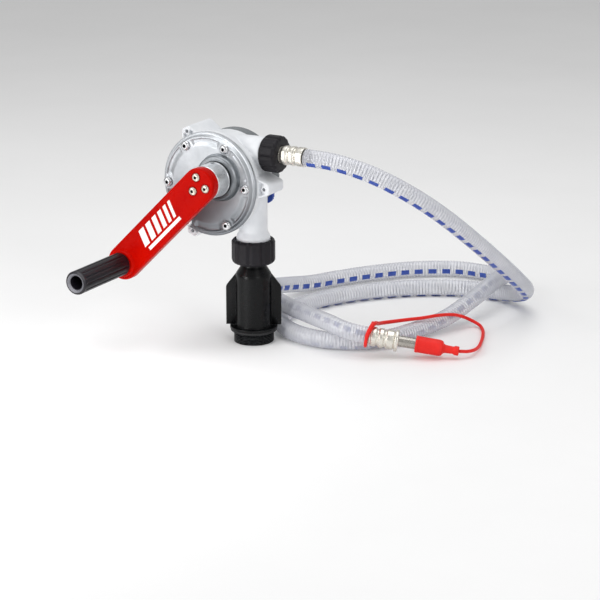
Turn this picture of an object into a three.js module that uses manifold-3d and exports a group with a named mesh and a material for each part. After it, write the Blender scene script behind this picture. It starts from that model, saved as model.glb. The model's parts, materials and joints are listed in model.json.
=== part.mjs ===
// Hand-cranked rotary vane pump that screws into the 2 inch bung of a steel drum.
// Frame: millimetres, +Z up. The origin is on the bung axis, level with the drum head.
// The crank side of the pump faces -Y and the outlet leaves along +X.
import * as THREE from "three";
import { mergeVertices } from "three/addons/utils/BufferGeometryUtils.js";
import Module from "manifold-3d";

const wasm = await Module();
wasm.setup();

// ---------------------------------------------------------------- driving dimensions
const GAP = 0.3; // clearance between pieces that touch

// Pump head, in a front view: x is the part's X, y is its Z, and depth runs towards the crank.
const SHAFT = new THREE.Vector2(-28, 255.5);
const CASE = new THREE.Vector2(-49, 242);
const CASE_HALF_DEPTH = 36;
const CASE_FLANGE_R = 77;
const CASE_FRONT_R = 72;
const CASE_REAR_R = 68;
const CASE_FLANGE_DEPTH = 10;
const ECCENTRICITY = 7.5;
const CHAMBER_ANGLE = 200; // direction from the shaft to the chamber's centre
const CHAMBER_R = 43.3;
const ROTOR_R = 35.3;
const ROTOR_END_GAP = 0.5;
const GASKET_T = 0.8;
const COVER_BACK = CASE_HALF_DEPTH + 2 * GAP + GASKET_T;
const COVER_FACE = 49;
const COVER_DOME = 51.5;
const BOSS_R = 34.6;
const BOSS_FACE = 59;
const SCREW_CENTRE = new THREE.Vector2(-49.5, 241.2);
const SCREW_CIRCLE_R = 65;
const SCREW_TURN = 1.5;
const COVER_SCREWS = 6;
const REAR_SCREWS = 4;
const REAR_SCREW_CIRCLE_R = 60;
const REAR_COVER_R = 67;
const REAR_COVER_T = 12;
const LUGS = [
  { angle: 0, shift: 0, low: -8, end: 96 },
  { angle: 120, shift: -3.5, low: -28, end: 93.5 },
  { angle: 246, shift: -3.5, low: -8, end: 94 },
];

// Neck, outlet and their unions.
const NECK_R = 21;
const NECK_END = 134.2;
const INLET_BORE_R = 15;
const OUTLET_Z = 288;
const OUTLET_BORE_R = 13;
const STUB_END = 21.5;
const SPIGOT_END = 38;
const INLET_NUT = { r: 32, low: 121, high: 157, lip: 3.7, lipR: 20.5, boreR: 27.2, lobes: 10 };
const OUTLET_NUT = { r: 27, low: 22, high: 49, lip: 4, lipR: 12.6, boreR: 21.2, lobes: 10 };

// Crank line.
const SHAFT_R = 8;
const BUSH_R = 11;
const HUB_R = 25.7;
const HUB_BACK = 60.2;
const HUB_FRONT = 91;
const ARM_T = 16.5;
const ARM_BACK = HUB_FRONT + GAP;
const ARM_FRONT = ARM_BACK + ARM_T;
const ARM_HALF_WIDTH = 25.4;
const CRANK_THROW = 187;
const CRANK_ANGLE = 225;
const CRANK_SCREW_CIRCLE_R = 12.4;
const CRANK_SCREW_ANGLES = [225, 345, 105];
const GRIP_R = 17.3;
const GRIP_BACK = ARM_FRONT + 4.2;
const GRIP_FRONT = 228;
const GRIP_STEP = 150;
const SPINDLE_R = 6;
const VANE_COUNT = 4;
const VANE_T = 4.4;
const SLOT_T = 5;
const SLOT_FLOOR_R = 10.8;

// Bung adapter and suction tube.
const SPIGOT_R = 29.8; // G 2 thread
const COLLAR_R = 35.5;
const COLLAR_LOW = 20.5;
const COLLAR_HIGH = 24.5;
const BODY_R = 26.7;
const BODY_TOP = 103;
const THROAT_R = 18.2;
const WING_R = 41;
const WING_T = 4.5;
const WING_ANGLE = 27;
const TUBE = { outer: 14.2, inner: 12.6, low: -360, high: 118 };
const INNER_TUBE = { outer: 12.2, inner: 10.7, low: -395, high: -5 };

// Delivery hose, its fittings and the spout.
const HOSE_R = 13;
const FERRULE_R = 14.25;
const TAIL_R = 9.8;
const HOSE_START = 88;
const FITTING_START = new THREE.Vector3(185, 14.5, 31);
const FITTING_HEADING = 23;
const FITTING_FALL = -0.145;
const END_FERRULE_LENGTH = 43;
const SPOUT_R = 8.2;
const CAP_R = 12.5;
const CAP_START = 68;
const CAP_END = 108;
const KNOB_END = 132;
const STRAP_R = 2.7;

// The hose leaves the outlet, falls to the drum head and lies there in two turns.
const HOSE_ROUTE = [
  [HOSE_START, 0, 288], [136, 2.5, 285], [184, 13.5, 272], [227, 40, 246], [261, 84, 208],
  [285, 145, 159], [301, 212, 108], [307, 270, 67], [301, 317, 38],
  [274, 349, 20.5], [230, 363, 13.5], [173, 356, 13.3], [118, 329, 13.3], [68, 286, 13.3],
  [28, 233, 13.3], [2, 175, 13.3], [-6, 117, 13.3], [8, 67, 13.3], [46, 30, 13.3],
  [98, 15, 13.3], [149, 28, 13.3], [187, 66, 13.3], [209, 124, 14], [227, 187, 18],
  [242, 252, 33], [248, 316, 44.5], [245, 372, 42], [228, 420, 27], [188, 452, 14.5],
  [126, 455, 13.3], [58, 417, 13.3], [-2, 347, 13.3], [-48, 264, 14], [-67, 183, 27],
  [-44, 112, 40], [10, 68, 41], [70, 37, 41], [119, 15, 40.5], [151, 8, 36],
];
const HOSE_STEPS = 54;
const HOSE_SIDES = 8;

// The strap runs from the cap's knob, over the hose, to a ring behind the end ferrule.
const STRAP_ROUTE = [
  [314, 74, 10.5], [317, 92, 8], [313, 117, 5], [304, 146, 3], [293, 177, 3], [281, 202, 3],
  [268, 217, 5], [255, 215, 11], [247, 199, 20], [240, 179, 27], [229, 153, 31], [215, 129, 31.5],
  [200, 109, 32], [187, 88, 33], [181, 66, 36], [178.5, 44, 41.5], [179, 27, 48],
];
const STRAP_STEPS = 36;
const STRAP_SIDES = 8;

// ---------------------------------------------------------------- materials
const finish = (color, roughness, metalness) =>
  new THREE.MeshStandardMaterial({ color, roughness, metalness });
const GREY_PAINT = finish(0xd3d7da, 0.5, 0.1);
const ALUMINIUM = finish(0xb4b8bc, 0.4, 0.9);
const REAR_GREY = finish(0x8d9195, 0.55, 0.3);
const STEEL = finish(0xc6c8cb, 0.25, 1);
const ZINC = finish(0xcfc9b4, 0.35, 0.9);
const BRONZE = finish(0xa9793f, 0.4, 0.9);
const RED_PAINT = finish(0xc8141a, 0.35, 0.1);
const RED_RUBBER = finish(0xd8221f, 0.6, 0);
const BLACK_PLASTIC = finish(0x1c1d1f, 0.5, 0);
const GLOSS_BLACK = finish(0x141516, 0.3, 0);
const RUBBER = finish(0x222222, 0.85, 0);
const CLEAR_PVC = finish(0xdfe3e8, 0.15, 0);
const BLUE_PLASTIC = finish(0x2f4fa8, 0.5, 0);
const CARBON = finish(0x3a3b3d, 0.6, 0.1);

// ---------------------------------------------------------------- helpers
const rad = THREE.MathUtils.degToRad;

function polar(radius, degrees, centre = new THREE.Vector2()) {
  return new THREE.Vector2(
    centre.x + radius * Math.cos(rad(degrees)),
    centre.y + radius * Math.sin(rad(degrees)),
  );
}

// A closed manifold solid from a geometry, with shared corners merged.
function solid(geometry) {
  const bare = geometry.index ? geometry.toNonIndexed() : geometry.clone();
  bare.deleteAttribute("normal");
  bare.deleteAttribute("uv");
  const merged = mergeVertices(bare, 1e-4);
  return new wasm.Manifold(new wasm.Mesh({
    numProp: 3,
    vertProperties: new Float32Array(merged.attributes.position.array),
    triVerts: new Uint32Array(merged.index.array),
  }));
}

function geometryOf(manifold) {
  const mesh = manifold.getMesh();
  const geometry = new THREE.BufferGeometry();
  geometry.setAttribute("position", new THREE.BufferAttribute(mesh.vertProperties, 3));
  geometry.setIndex(new THREE.BufferAttribute(mesh.triVerts, 1));
  return geometry;
}

// Adds and cuts whole lists of geometries.
function build(adds, cuts = []) {
  let result = solid(adds[0]);
  for (const more of adds.slice(1)) result = result.add(solid(more));
  for (const tool of cuts) result = result.subtract(solid(tool));
  return geometryOf(result);
}

// A turned piece about +Z, from [radius, z] points listed from the low inside round to the top.
function turned(points, segments = 24) {
  const profile = points.map(([r, z]) => new THREE.Vector2(r, z));
  const closed = profile[0].x > 0 || profile.at(-1).x > 0;
  if (closed) profile.push(profile[0].clone());
  const lathe = new THREE.LatheGeometry(profile, segments);
  return lathe.rotateX(Math.PI / 2);
}

// A plain cylinder about +Z between two heights.
function rod(radius, low, high, segments = 20, topRadius = radius) {
  const shape = new THREE.CylinderGeometry(topRadius, radius, high - low, segments);
  return shape.rotateX(Math.PI / 2).translate(0, 0, (low + high) / 2);
}

function ring(inner, outer, low, high, segments = 24) {
  return turned([[inner, low], [outer, low], [outer, high], [inner, high]], segments);
}

// A flat outline drawn in x and y, raised between two heights.
function raised(points, low, high, holes = []) {
  const shape = new THREE.Shape(points);
  shape.holes = holes;
  const slab = new THREE.ExtrudeGeometry(shape, { depth: high - low, bevelEnabled: false });
  return slab.translate(0, 0, low);
}

function circlePoints(radius, count, centre = new THREE.Vector2()) {
  return Array.from({ length: count }, (_, i) => polar(radius, (360 * i) / count, centre));
}

// A round outline with shallow grooves between its lobes.
function lobedOutline(radius, lobes, groove, perLobe = 4) {
  const count = lobes * perLobe;
  return Array.from({ length: count }, (_, i) => {
    const dip = i % perLobe === 0 ? groove : 0;
    return polar(radius - dip, (360 * i) / count);
  });
}

function at(geometry, point, depth = 0) {
  return geometry.translate(point.x, point.y, depth);
}

function piece(name, geometry, material) {
  const mesh = new THREE.Mesh(geometry, material);
  mesh.name = name;
  return mesh;
}

// ---------------------------------------------------------------- fasteners
// A button head screw along +Z: its head sits on z = 0 and its shank reaches down.
function buttonScrew(headR, headH, shankR, length, keyR) {
  const body = turned([
    [0, -length], [shankR, -length], [shankR, 0], [headR, 0], [headR, headH * 0.4], [headR * 0.65, headH], [0, headH],
  ], 12);
  const socket = rod(keyR, headH * 0.35, headH + 1, 6);
  return build([body], [socket]);
}

// ---------------------------------------------------------------- pump casing and covers
const CHAMBER = polar(ECCENTRICITY, CHAMBER_ANGLE, SHAFT);
const LUG_HOLE_R = 87;
const LUG_BOSS_R = 4.8;

// One mounting lug, drawn about the casing centre along +X, with its pocket and screw boss.
function lugTools({ angle, shift, low, end }) {
  const place = (g) => at(g.translate(shift, 0, 0).rotateZ(rad(angle)), CASE);
  const outline = [
    [55, -19], [74, -15.5], [end - 3, -8.5], [end, -5.5], [end, 5.5], [end - 3, 8.5], [74, 15.5], [55, 19],
  ];
  const rim = Math.max(end - 2.5, LUG_HOLE_R + LUG_BOSS_R + 0.1);
  const pocket = [[78, -11.5], [rim - 2, -6.5], [rim, -4.5], [rim, 4.5], [rim - 2, 6.5], [78, 11.5]];
  const points = (list) => list.map(([x, y]) => new THREE.Vector2(x, y));
  const boss = new THREE.Path(circlePoints(LUG_BOSS_R, 20, new THREE.Vector2(LUG_HOLE_R, 0)));
  return {
    block: place(raised(points(outline), low, CASE_HALF_DEPTH - 1)),
    pocket: place(raised(points(pocket), CASE_HALF_DEPTH - 8, CASE_HALF_DEPTH, [boss])),
    hole: place(rod(2.4, 8, CASE_HALF_DEPTH, 16).translate(LUG_HOLE_R, 0, 0)),
  };
}

function pumpCasing() {
  const lugs = LUGS.map(lugTools);
  const front = CASE_HALF_DEPTH;
  const alongX = (g) => g.rotateY(Math.PI / 2).translate(0, OUTLET_Z, 0);
  const alongY = (g) => g.rotateX(-Math.PI / 2);
  const can = at(turned([
    [0, -front], [CASE_REAR_R, -front], [CASE_FRONT_R, front - CASE_FLANGE_DEPTH - 3],
    [CASE_FLANGE_R, front - CASE_FLANGE_DEPTH], [CASE_FLANGE_R, front], [0, front],
  ], 36), CASE);
  const neck = alongY(turned([
    [0, NECK_END], [26.4, NECK_END], [26.4, 153], [25, 154], [25, 161], [NECK_R, 169], [NECK_R, 262], [0, 262],
  ], 24));
  const stub = alongX(turned([
    [0, -34], [20, -34], [22.6, -20], [23, 12], [23, STUB_END], [20.8, STUB_END], [20.8, SPIGOT_END], [0, SPIGOT_END],
  ], 24));
  const screwHoles = [];
  for (let i = 0; i < COVER_SCREWS; i++) {
    screwHoles.push(at(rod(3.4, front - 20, front + 1, 10), screwPoint(i)));
  }
  for (let i = 0; i < REAR_SCREWS; i++) {
    screwHoles.push(at(rod(2.8, -front - 1, -front + 14, 10), rearScrewPoint(i)));
  }
  return build([can, neck, stub, ...lugs.map((l) => l.block)], [
    at(rod(CHAMBER_R, -front - 1, front + 1, 36), CHAMBER),
    alongY(rod(INLET_BORE_R, NECK_END - 1, 232, 24)),
    alongX(rod(OUTLET_BORE_R, -20, SPIGOT_END + 1)),
    ...lugs.map((l) => l.pocket),
    ...lugs.map((l) => l.hole),
    ...screwHoles,
  ]);
}

const PLUG = new THREE.Vector2(-9, 211);
const screwPoint = (i) => polar(SCREW_CIRCLE_R, SCREW_TURN + (360 * i) / COVER_SCREWS, SCREW_CENTRE);
const rearScrewPoint = (i) => polar(REAR_SCREW_CIRCLE_R, (360 * i) / REAR_SCREWS, CASE);

// A shallow pocket between two neighbouring cover screws.
function coverPocket(i) {
  const inner = 57;
  const outer = 69;
  const from = 60 * i + 14;
  const to = 60 * i + 50;
  const points = [];
  for (let a = from; a <= to; a += 12) points.push(polar(outer, a, CASE));
  for (let a = to; a >= from; a -= 12) points.push(polar(inner, a, CASE));
  return raised(points, COVER_FACE - 2, COVER_FACE + 4);
}

function frontCover() {
  const plate = at(turned([
    [0, COVER_BACK], [CASE_FLANGE_R, COVER_BACK], [CASE_FLANGE_R, 41.5], [75.5, 43], [73.6, 43],
    [72.6, 46.5], [70.5, COVER_FACE], [56, COVER_FACE], [51, COVER_DOME], [0, COVER_DOME],
  ], 36), CASE);
  const boss = at(turned([
    [0, COVER_FACE - 2], [BOSS_R + 3, COVER_FACE - 2], [BOSS_R + 1, COVER_DOME], [BOSS_R, BOSS_FACE - 3],
    [BOSS_R - 3, BOSS_FACE], [0, BOSS_FACE],
  ], 28), SHAFT);
  const cuts = [
    at(rod(SHAFT_R + GAP, COVER_BACK - 1, BOSS_FACE + 1), SHAFT),
    at(rod(BUSH_R + GAP, COVER_BACK + 3, BOSS_FACE + 1), SHAFT),
    at(rod(14.3, 52, BOSS_FACE + 1), SHAFT),
  ];
  for (let i = 0; i < COVER_SCREWS; i++) {
    cuts.push(at(rod(3.6, COVER_BACK - 1, BOSS_FACE, 10), screwPoint(i)));
    cuts.push(coverPocket(i));
  }
  return build([plate, boss], cuts);
}

function rearCover() {
  const back = -COVER_BACK - REAR_COVER_T;
  const plate = at(turned([
    [0, back], [REAR_COVER_R - 4, back], [REAR_COVER_R, back + 4], [REAR_COVER_R, -COVER_BACK], [0, -COVER_BACK],
  ], 32), CASE);
  const boss = at(turned([[0, back - 7], [17, back - 7], [20, back - 4], [20, back + 1], [0, back + 1]]), SHAFT);
  const cuts = [
    at(rod(BUSH_R + GAP, back - 3, -COVER_BACK + 1), SHAFT),
    at(rod(5.4, back - 1, back + 9, 12), PLUG),
  ];
  for (let i = 0; i < REAR_SCREWS; i++) {
    cuts.push(at(rod(3, back - 1, -COVER_BACK + 1, 10), rearScrewPoint(i)));
  }
  return build([plate, boss], cuts);
}

// A flat gasket with the chamber and the screw holes left out.
function gasket(outer, low, count, pointOf, holeR) {
  const holes = [new THREE.Path(circlePoints(CHAMBER_R + 0.8, 28, CHAMBER))];
  for (let i = 0; i < count; i++) holes.push(new THREE.Path(circlePoints(holeR, 8, pointOf(i))));
  return raised(circlePoints(outer, 32, CASE), low, low + GASKET_T, holes);
}

// ---------------------------------------------------------------- crank line
function rotor() {
  const half = COVER_BACK - ROTOR_END_GAP;
  const cuts = [rod(SHAFT_R + GAP, -half - 1, half + 1)];
  cuts.push(new THREE.BoxGeometry(4, 5.6, 31).translate(SHAFT_R + 1, 0, 0).rotateZ(rad(KEY_ANGLE)));
  for (let i = 0; i < VANE_COUNT; i++) {
    const slot = new THREE.BoxGeometry(30, SLOT_T, 2 * half + 2).translate(SLOT_FLOOR_R + 15, 0, 0);
    cuts.push(slot.rotateZ(rad(vaneAngle(i))));
  }
  return at(build([rod(ROTOR_R, -half, half, 36)], cuts), SHAFT);
}

const KEY_ANGLE = 110;
const vaneAngle = (i) => CHAMBER_ANGLE + 45 + (360 * i) / VANE_COUNT;

function vane(i) {
  const half = COVER_BACK - ROTOR_END_GAP;
  const inner = SLOT_FLOOR_R + 0.4;
  const outer = ROTOR_R - 0.3;
  const radius = 1.8;
  const outline = [
    [inner, -VANE_T / 2], [outer - radius, -VANE_T / 2], [outer - 0.5, -1.2], [outer, 0],
    [outer - 0.5, 1.2], [outer - radius, VANE_T / 2], [inner, VANE_T / 2],
  ].map(([x, y]) => new THREE.Vector2(x, y));
  return at(raised(outline, -half, half).rotateZ(rad(vaneAngle(i))), SHAFT);
}

function pumpShaft() {
  const body = turned([
    [0, -49.5], [SHAFT_R - 1, -49.5], [SHAFT_R, -48.5], [SHAFT_R, 72], [SHAFT_R - 1, 73], [0, 73],
  ], 20);
  const keySeat = new THREE.BoxGeometry(4, 5.6, 31).translate(SHAFT_R - 0.8, 0, 0);
  return at(build([body], [keySeat.rotateZ(rad(KEY_ANGLE))]), SHAFT);
}

function rotorKey() {
  const key = new THREE.BoxGeometry(4.6, 5, 30).translate(SHAFT_R + 0.1, 0, 0);
  return at(key.rotateZ(rad(KEY_ANGLE)), SHAFT);
}

function crankHub() {
  const body = turned([
    [0, HUB_BACK], [HUB_R - 1.5, HUB_BACK], [HUB_R, HUB_BACK + 1.5], [HUB_R, HUB_FRONT], [0, HUB_FRONT],
  ], 32);
  const cuts = [rod(SHAFT_R + GAP, HUB_BACK - 1, 74)];
  for (const angle of CRANK_SCREW_ANGLES) {
    cuts.push(at(rod(3.3, 77, HUB_FRONT + 1, 10), polar(CRANK_SCREW_CIRCLE_R, angle)));
  }
  cuts.push(rod(3.3, SHAFT_R, HUB_R + 1, 12).rotateX(Math.PI / 2).translate(0, 0, 67));
  return at(build([body], cuts), SHAFT);
}

// The arm lies along +X here, from the shaft to the grip, and is turned to the crank angle.
function armOutline(width, from, to, count = 12) {
  const points = [];
  for (let i = 0; i <= count; i++) points.push(polar(width, 90 + (180 * i) / count, new THREE.Vector2(from, 0)));
  for (let i = 0; i <= count; i++) points.push(polar(width, -90 + (180 * i) / count, new THREE.Vector2(to, 0)));
  return points;
}

function crankArm() {
  const bevel = 2.2;
  const outline = new THREE.Shape(armOutline(ARM_HALF_WIDTH - bevel, 0, CRANK_THROW));
  const blade = new THREE.ExtrudeGeometry(outline, {
    depth: ARM_T - 2 * bevel, bevelEnabled: true, bevelSize: bevel, bevelThickness: bevel, bevelSegments: 1,
  }).translate(0, 0, ARM_BACK + bevel);
  const collar = rod(20.5, ARM_FRONT - 1, ARM_FRONT + 3.6, 24, 19.5).translate(CRANK_THROW, 0, 0);
  const hollow = raised(armOutline(19, 50, 150, 8), ARM_BACK - 1, ARM_BACK + 11);
  const cuts = [hollow, rod(SPINDLE_R + GAP, ARM_BACK - 1, ARM_FRONT + 5, 16).translate(CRANK_THROW, 0, 0)];
  for (const angle of CRANK_SCREW_ANGLES) {
    const centre = polar(CRANK_SCREW_CIRCLE_R, angle - CRANK_ANGLE);
    cuts.push(at(rod(3.4, ARM_BACK - 1, ARM_FRONT + 1, 10), centre));
    cuts.push(at(rod(7.1, ARM_FRONT - 1.6, ARM_FRONT + 1, 16), centre));
  }
  return at(build([blade, collar], cuts).rotateZ(rad(CRANK_ANGLE)), SHAFT);
}

const GRIP_CENTRE = polar(CRANK_THROW, CRANK_ANGLE, SHAFT);

function grip() {
  const bore = new THREE.Path(circlePoints(SPINDLE_R + 0.4, 16));
  const outline = lobedOutline(GRIP_R, 12, 1.3, 4);
  const sleeve = raised(outline, GRIP_BACK, GRIP_FRONT, [bore]);
  return at(build([sleeve], [rod(10.2, GRIP_STEP, GRIP_FRONT + 1)]), GRIP_CENTRE);
}

function gripSpindle() {
  const head = GRIP_STEP + GAP;
  return at(turned([
    [0, ARM_BACK], [SPINDLE_R, ARM_BACK], [SPINDLE_R, head], [9, head], [9, head + 5], [7.5, head + 6.5], [0, head + 6.5],
  ], 16), GRIP_CENTRE);
}

// ---------------------------------------------------------------- unions, adapter and suction side
// A lobed union nut along +Z with a lip that holds the flange of the piece it clamps.
function unionNut({ r, low, high, lip, lipR, boreR, lobes }, lipAtTop) {
  const edge = 3;
  const outline = lobedOutline(r, lobes, 1.6);
  const chamfer = turned([
    [0, low], [r - edge, low], [r + 1, low + edge + 1], [r + 1, high - edge - 1], [r - edge, high], [0, high],
  ], 40);
  const bore = lipAtTop ? rod(boreR, low - 1, high - lip, 28) : rod(boreR, low + lip, high + 1, 28);
  const mouth = rod(lipR, low - 1, high + 1, 24);
  const blank = solid(raised(outline, low, high)).intersect(solid(chamfer));
  return geometryOf(blank.subtract(solid(bore)).subtract(solid(mouth)));
}

function bungAdapter() {
  const body = turned([
    [14.6, -15], [28.6, -15], [SPIGOT_R, -13], [SPIGOT_R, 16], [28, 17.2], [28, COLLAR_LOW], [COLLAR_R, COLLAR_LOW],
    [COLLAR_R, COLLAR_HIGH], [BODY_R, COLLAR_HIGH], [BODY_R, BODY_TOP], [THROAT_R, 117], [THROAT_R, 125],
    [24, 125], [24, 131], [14.6, 131],
  ], 28);
  const side = [[16, 26], [WING_R, 26], [WING_R, 84], [WING_R - 1.5, 87], [19, 112], [16, 112]];
  const points = side.map(([x, z]) => new THREE.Vector2(x, z));
  const wings = [0, 180].map((turn) => raised(points, -WING_T / 2, WING_T / 2)
    .rotateX(Math.PI / 2).rotateZ(rad(WING_ANGLE + turn)));
  return build([body, ...wings]);
}

function lockCollar() {
  const step = TUBE.low - 3.3;
  const body = turned([
    [INNER_TUBE.outer + GAP, step - 12], [17.5, step - 12], [19.5, step - 9], [19.5, TUBE.low + 14],
    [18, TUBE.low + 16], [TUBE.outer + GAP, TUBE.low + 16], [TUBE.outer + GAP, step], [INNER_TUBE.outer + GAP, step],
  ]);
  const cuts = Array.from({ length: 8 }, (_, i) =>
    at(rod(1.8, step - 9, TUBE.low + 13, 4), polar(20.3, 45 * i)));
  return build([body], cuts);
}

const FOOT_SEAT = INNER_TUBE.low - 6.7;

function footValveBody() {
  return turned([
    [6, FOOT_SEAT - 3.3], [15, FOOT_SEAT - 3.3], [15, INNER_TUBE.low + 12], [INNER_TUBE.outer + GAP, INNER_TUBE.low + 12],
    [INNER_TUBE.outer + GAP, FOOT_SEAT], [6, FOOT_SEAT],
  ]);
}

// The disc has three lugs that centre it and let the flow pass between them.
function footValveDisc() {
  const points = [];
  for (let i = 0; i < 36; i++) points.push(polar(i % 12 < 4 ? 11.4 : 8.4, 10 * i));
  return raised(points, FOOT_SEAT + GAP, FOOT_SEAT + GAP + 2);
}

function footStrainer() {
  const low = FOOT_SEAT - 24;
  const high = FOOT_SEAT - 3.6;
  const cup = turned([[0, low], [14, low], [15, low + 1], [15, high], [13, high], [13, low + 2], [0, low + 2]]);
  const slots = Array.from({ length: 4 }, (_, i) =>
    new THREE.BoxGeometry(40, 4, 12).rotateZ(rad(45 * i)).translate(0, 0, (low + high) / 2));
  return build([cup], slots);
}

// ---------------------------------------------------------------- delivery line
// A crimped ferrule along +Z: two grooves pressed in between three bands.
function ferrule(length, innerR) {
  const deep = FERRULE_R - 2;
  const third = (length - 4) / 3;
  const points = [[innerR, 0], [12.2, 0], [12.2, 3]];
  for (let i = 0; i < 3; i++) {
    const start = 4 + i * third;
    points.push([FERRULE_R, start], [FERRULE_R, start + third - 5]);
    if (i < 2) points.push([deep, start + third - 3.6], [deep, start + third - 1.4]);
  }
  points.push([FERRULE_R, length], [innerR, length]);
  return turned(points);
}

function hoseTail() {
  return turned([
    [7.5, 41.3], [20.4, 41.3], [20.4, 44.7], [12.2, 44.7], [12.2, 49.4], [TAIL_R, 49.4], [TAIL_R, 87], [7.5, 87],
  ]);
}

function tube(points, radius, sides, steps) {
  const curve = new THREE.CatmullRomCurve3(points, false, "centripetal");
  curve.arcLengthDivisions = 600;
  return new THREE.ExtrudeGeometry(new THREE.Shape(circlePoints(radius, sides)), {
    extrudePath: curve, steps, bevelEnabled: false,
  });
}

// Unit vector along the end fitting, and a frame whose +Z is that axis with its start at the hose.
const level = Math.sqrt(1 - FITTING_FALL ** 2);
const FITTING_AXIS = new THREE.Vector3(
  level * Math.cos(rad(FITTING_HEADING)),
  level * Math.sin(rad(FITTING_HEADING)),
  FITTING_FALL,
);
const FITTING_TURN = new THREE.Quaternion().setFromUnitVectors(new THREE.Vector3(0, 0, 1), FITTING_AXIS);
const alongFitting = (s) => FITTING_START.clone().addScaledVector(FITTING_AXIS, s);

function endFerrule() {
  const body = ferrule(END_FERRULE_LENGTH - 6, SPOUT_R + GAP);
  const flange = ring(SPOUT_R + GAP, 16, END_FERRULE_LENGTH - 7, END_FERRULE_LENGTH);
  return build([body, flange]);
}

function spoutCap() {
  return turned([
    [SPOUT_R + GAP, CAP_START], [CAP_R - 0.6, CAP_START], [CAP_R, CAP_START + 1], [CAP_R, CAP_END - 3],
    [CAP_R - 2, CAP_END], [7.6, CAP_END + 1.5], [6, CAP_END + 4], [5.4, KNOB_END - 8], [7, KNOB_END - 6],
    [7, KNOB_END - 1], [6, KNOB_END], [0, KNOB_END], [0, CAP_END - 6], [SPOUT_R + GAP, CAP_END - 6],
  ]);
}

// ---------------------------------------------------------------- assembly
const pump = new THREE.Group();

// The head's own frame: x is X, y is Z, and z runs towards the crank, along -Y.
const head = new THREE.Group();
head.rotation.x = Math.PI / 2;
pump.add(head);

head.add(piece("pump_casing", pumpCasing(), GREY_PAINT));
head.add(piece("front_cover", frontCover(), ALUMINIUM));
head.add(piece("rear_cover", rearCover(), REAR_GREY));
head.add(piece("front_gasket", gasket(76, CASE_HALF_DEPTH + GAP, COVER_SCREWS, screwPoint, 3.8), RUBBER));
head.add(piece("rear_gasket", gasket(66, -COVER_BACK + GAP, REAR_SCREWS, rearScrewPoint, 3.2), RUBBER));
for (let i = 0; i < COVER_SCREWS; i++) {
  const screw = piece(`cover_screw_${i + 1}`, buttonScrew(7.3, 4.8, 3, 30, 2.9), STEEL);
  screw.position.set(screwPoint(i).x, screwPoint(i).y, COVER_FACE + GAP);
  head.add(screw);
}
for (let i = 0; i < REAR_SCREWS; i++) {
  const screw = piece(`rear_screw_${i + 1}`, buttonScrew(5, 3, 2.4, 24, 2), STEEL);
  screw.position.set(rearScrewPoint(i).x, rearScrewPoint(i).y, -COVER_BACK - REAR_COVER_T - GAP);
  screw.rotation.x = Math.PI;
  head.add(screw);
}
head.add(piece("front_bush", at(ring(SHAFT_R + GAP, BUSH_R, COVER_BACK + 3.3, 51.7, 20), SHAFT), BRONZE));
head.add(piece("rear_bush", at(ring(SHAFT_R + GAP, BUSH_R, -52, -COVER_BACK - 0.3, 20), SHAFT), BRONZE));
head.add(piece("shaft_seal", at(ring(SHAFT_R + GAP, 14, 52.3, 57.5, 20), SHAFT), RUBBER));
const plug = piece("rear_plug", turned([[0, -8], [5, -8], [5, 0], [16, 0], [16, 6], [14, 8], [0, 8]]), BLUE_PLASTIC);
plug.rotation.x = Math.PI;
plug.position.set(PLUG.x, PLUG.y, -COVER_BACK - REAR_COVER_T - GAP);
head.add(plug);

head.add(piece("pump_shaft", pumpShaft(), STEEL));
head.add(piece("rotor_key", rotorKey(), STEEL));
head.add(piece("rotor", rotor(), CARBON));
for (let i = 0; i < VANE_COUNT; i++) head.add(piece(`vane_${i + 1}`, vane(i), CARBON));
head.add(piece("crank_hub", crankHub(), ALUMINIUM));
const grub = piece("hub_grub_screw", rod(3, SHAFT_R + 1, HUB_R - 6, 12), STEEL);
grub.rotation.x = Math.PI / 2;
grub.position.set(SHAFT.x, SHAFT.y, 67);
head.add(grub);
head.add(piece("crank_arm", crankArm(), RED_PAINT));
CRANK_SCREW_ANGLES.forEach((angle, i) => {
  const spot = polar(CRANK_SCREW_CIRCLE_R, angle, SHAFT);
  const screw = piece(`crank_screw_${i + 1}`, buttonScrew(5.9, 3.7, 2.9, 26, 2.2), STEEL);
  screw.position.set(spot.x, spot.y, ARM_FRONT - 1.6 + GAP);
  head.add(screw);
});
head.add(piece("grip_spindle", gripSpindle(), STEEL));
head.add(piece("crank_grip", grip(), BLACK_PLASTIC));

// The suction side stands on the bung axis.
pump.add(piece("inlet_union_nut", unionNut(INLET_NUT, false), BLACK_PLASTIC));
pump.add(piece("inlet_flat_seal", ring(INLET_BORE_R, 24, 131.3, NECK_END - GAP), RUBBER));
pump.add(piece("bung_adapter", bungAdapter(), GLOSS_BLACK));
pump.add(piece("bung_gasket", ring(SPIGOT_R + GAP, COLLAR_R - 1, COLLAR_LOW - GAP - 3, COLLAR_LOW - GAP), RUBBER));
pump.add(piece("suction_tube_upper", ring(TUBE.inner, TUBE.outer, TUBE.low, TUBE.high), STEEL));
pump.add(piece("tube_lock_collar", lockCollar(), BLACK_PLASTIC));
pump.add(piece("tube_seal_ring", ring(INNER_TUBE.outer + GAP, TUBE.outer, TUBE.low - 3, TUBE.low - GAP), RUBBER));
pump.add(piece("suction_tube_lower", ring(INNER_TUBE.inner, INNER_TUBE.outer, INNER_TUBE.low, INNER_TUBE.high), STEEL));
pump.add(piece("foot_valve_body", footValveBody(), BLACK_PLASTIC));
pump.add(piece("foot_valve_disc", footValveDisc(), RUBBER));
pump.add(piece("foot_strainer", footStrainer(), BLACK_PLASTIC));

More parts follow.
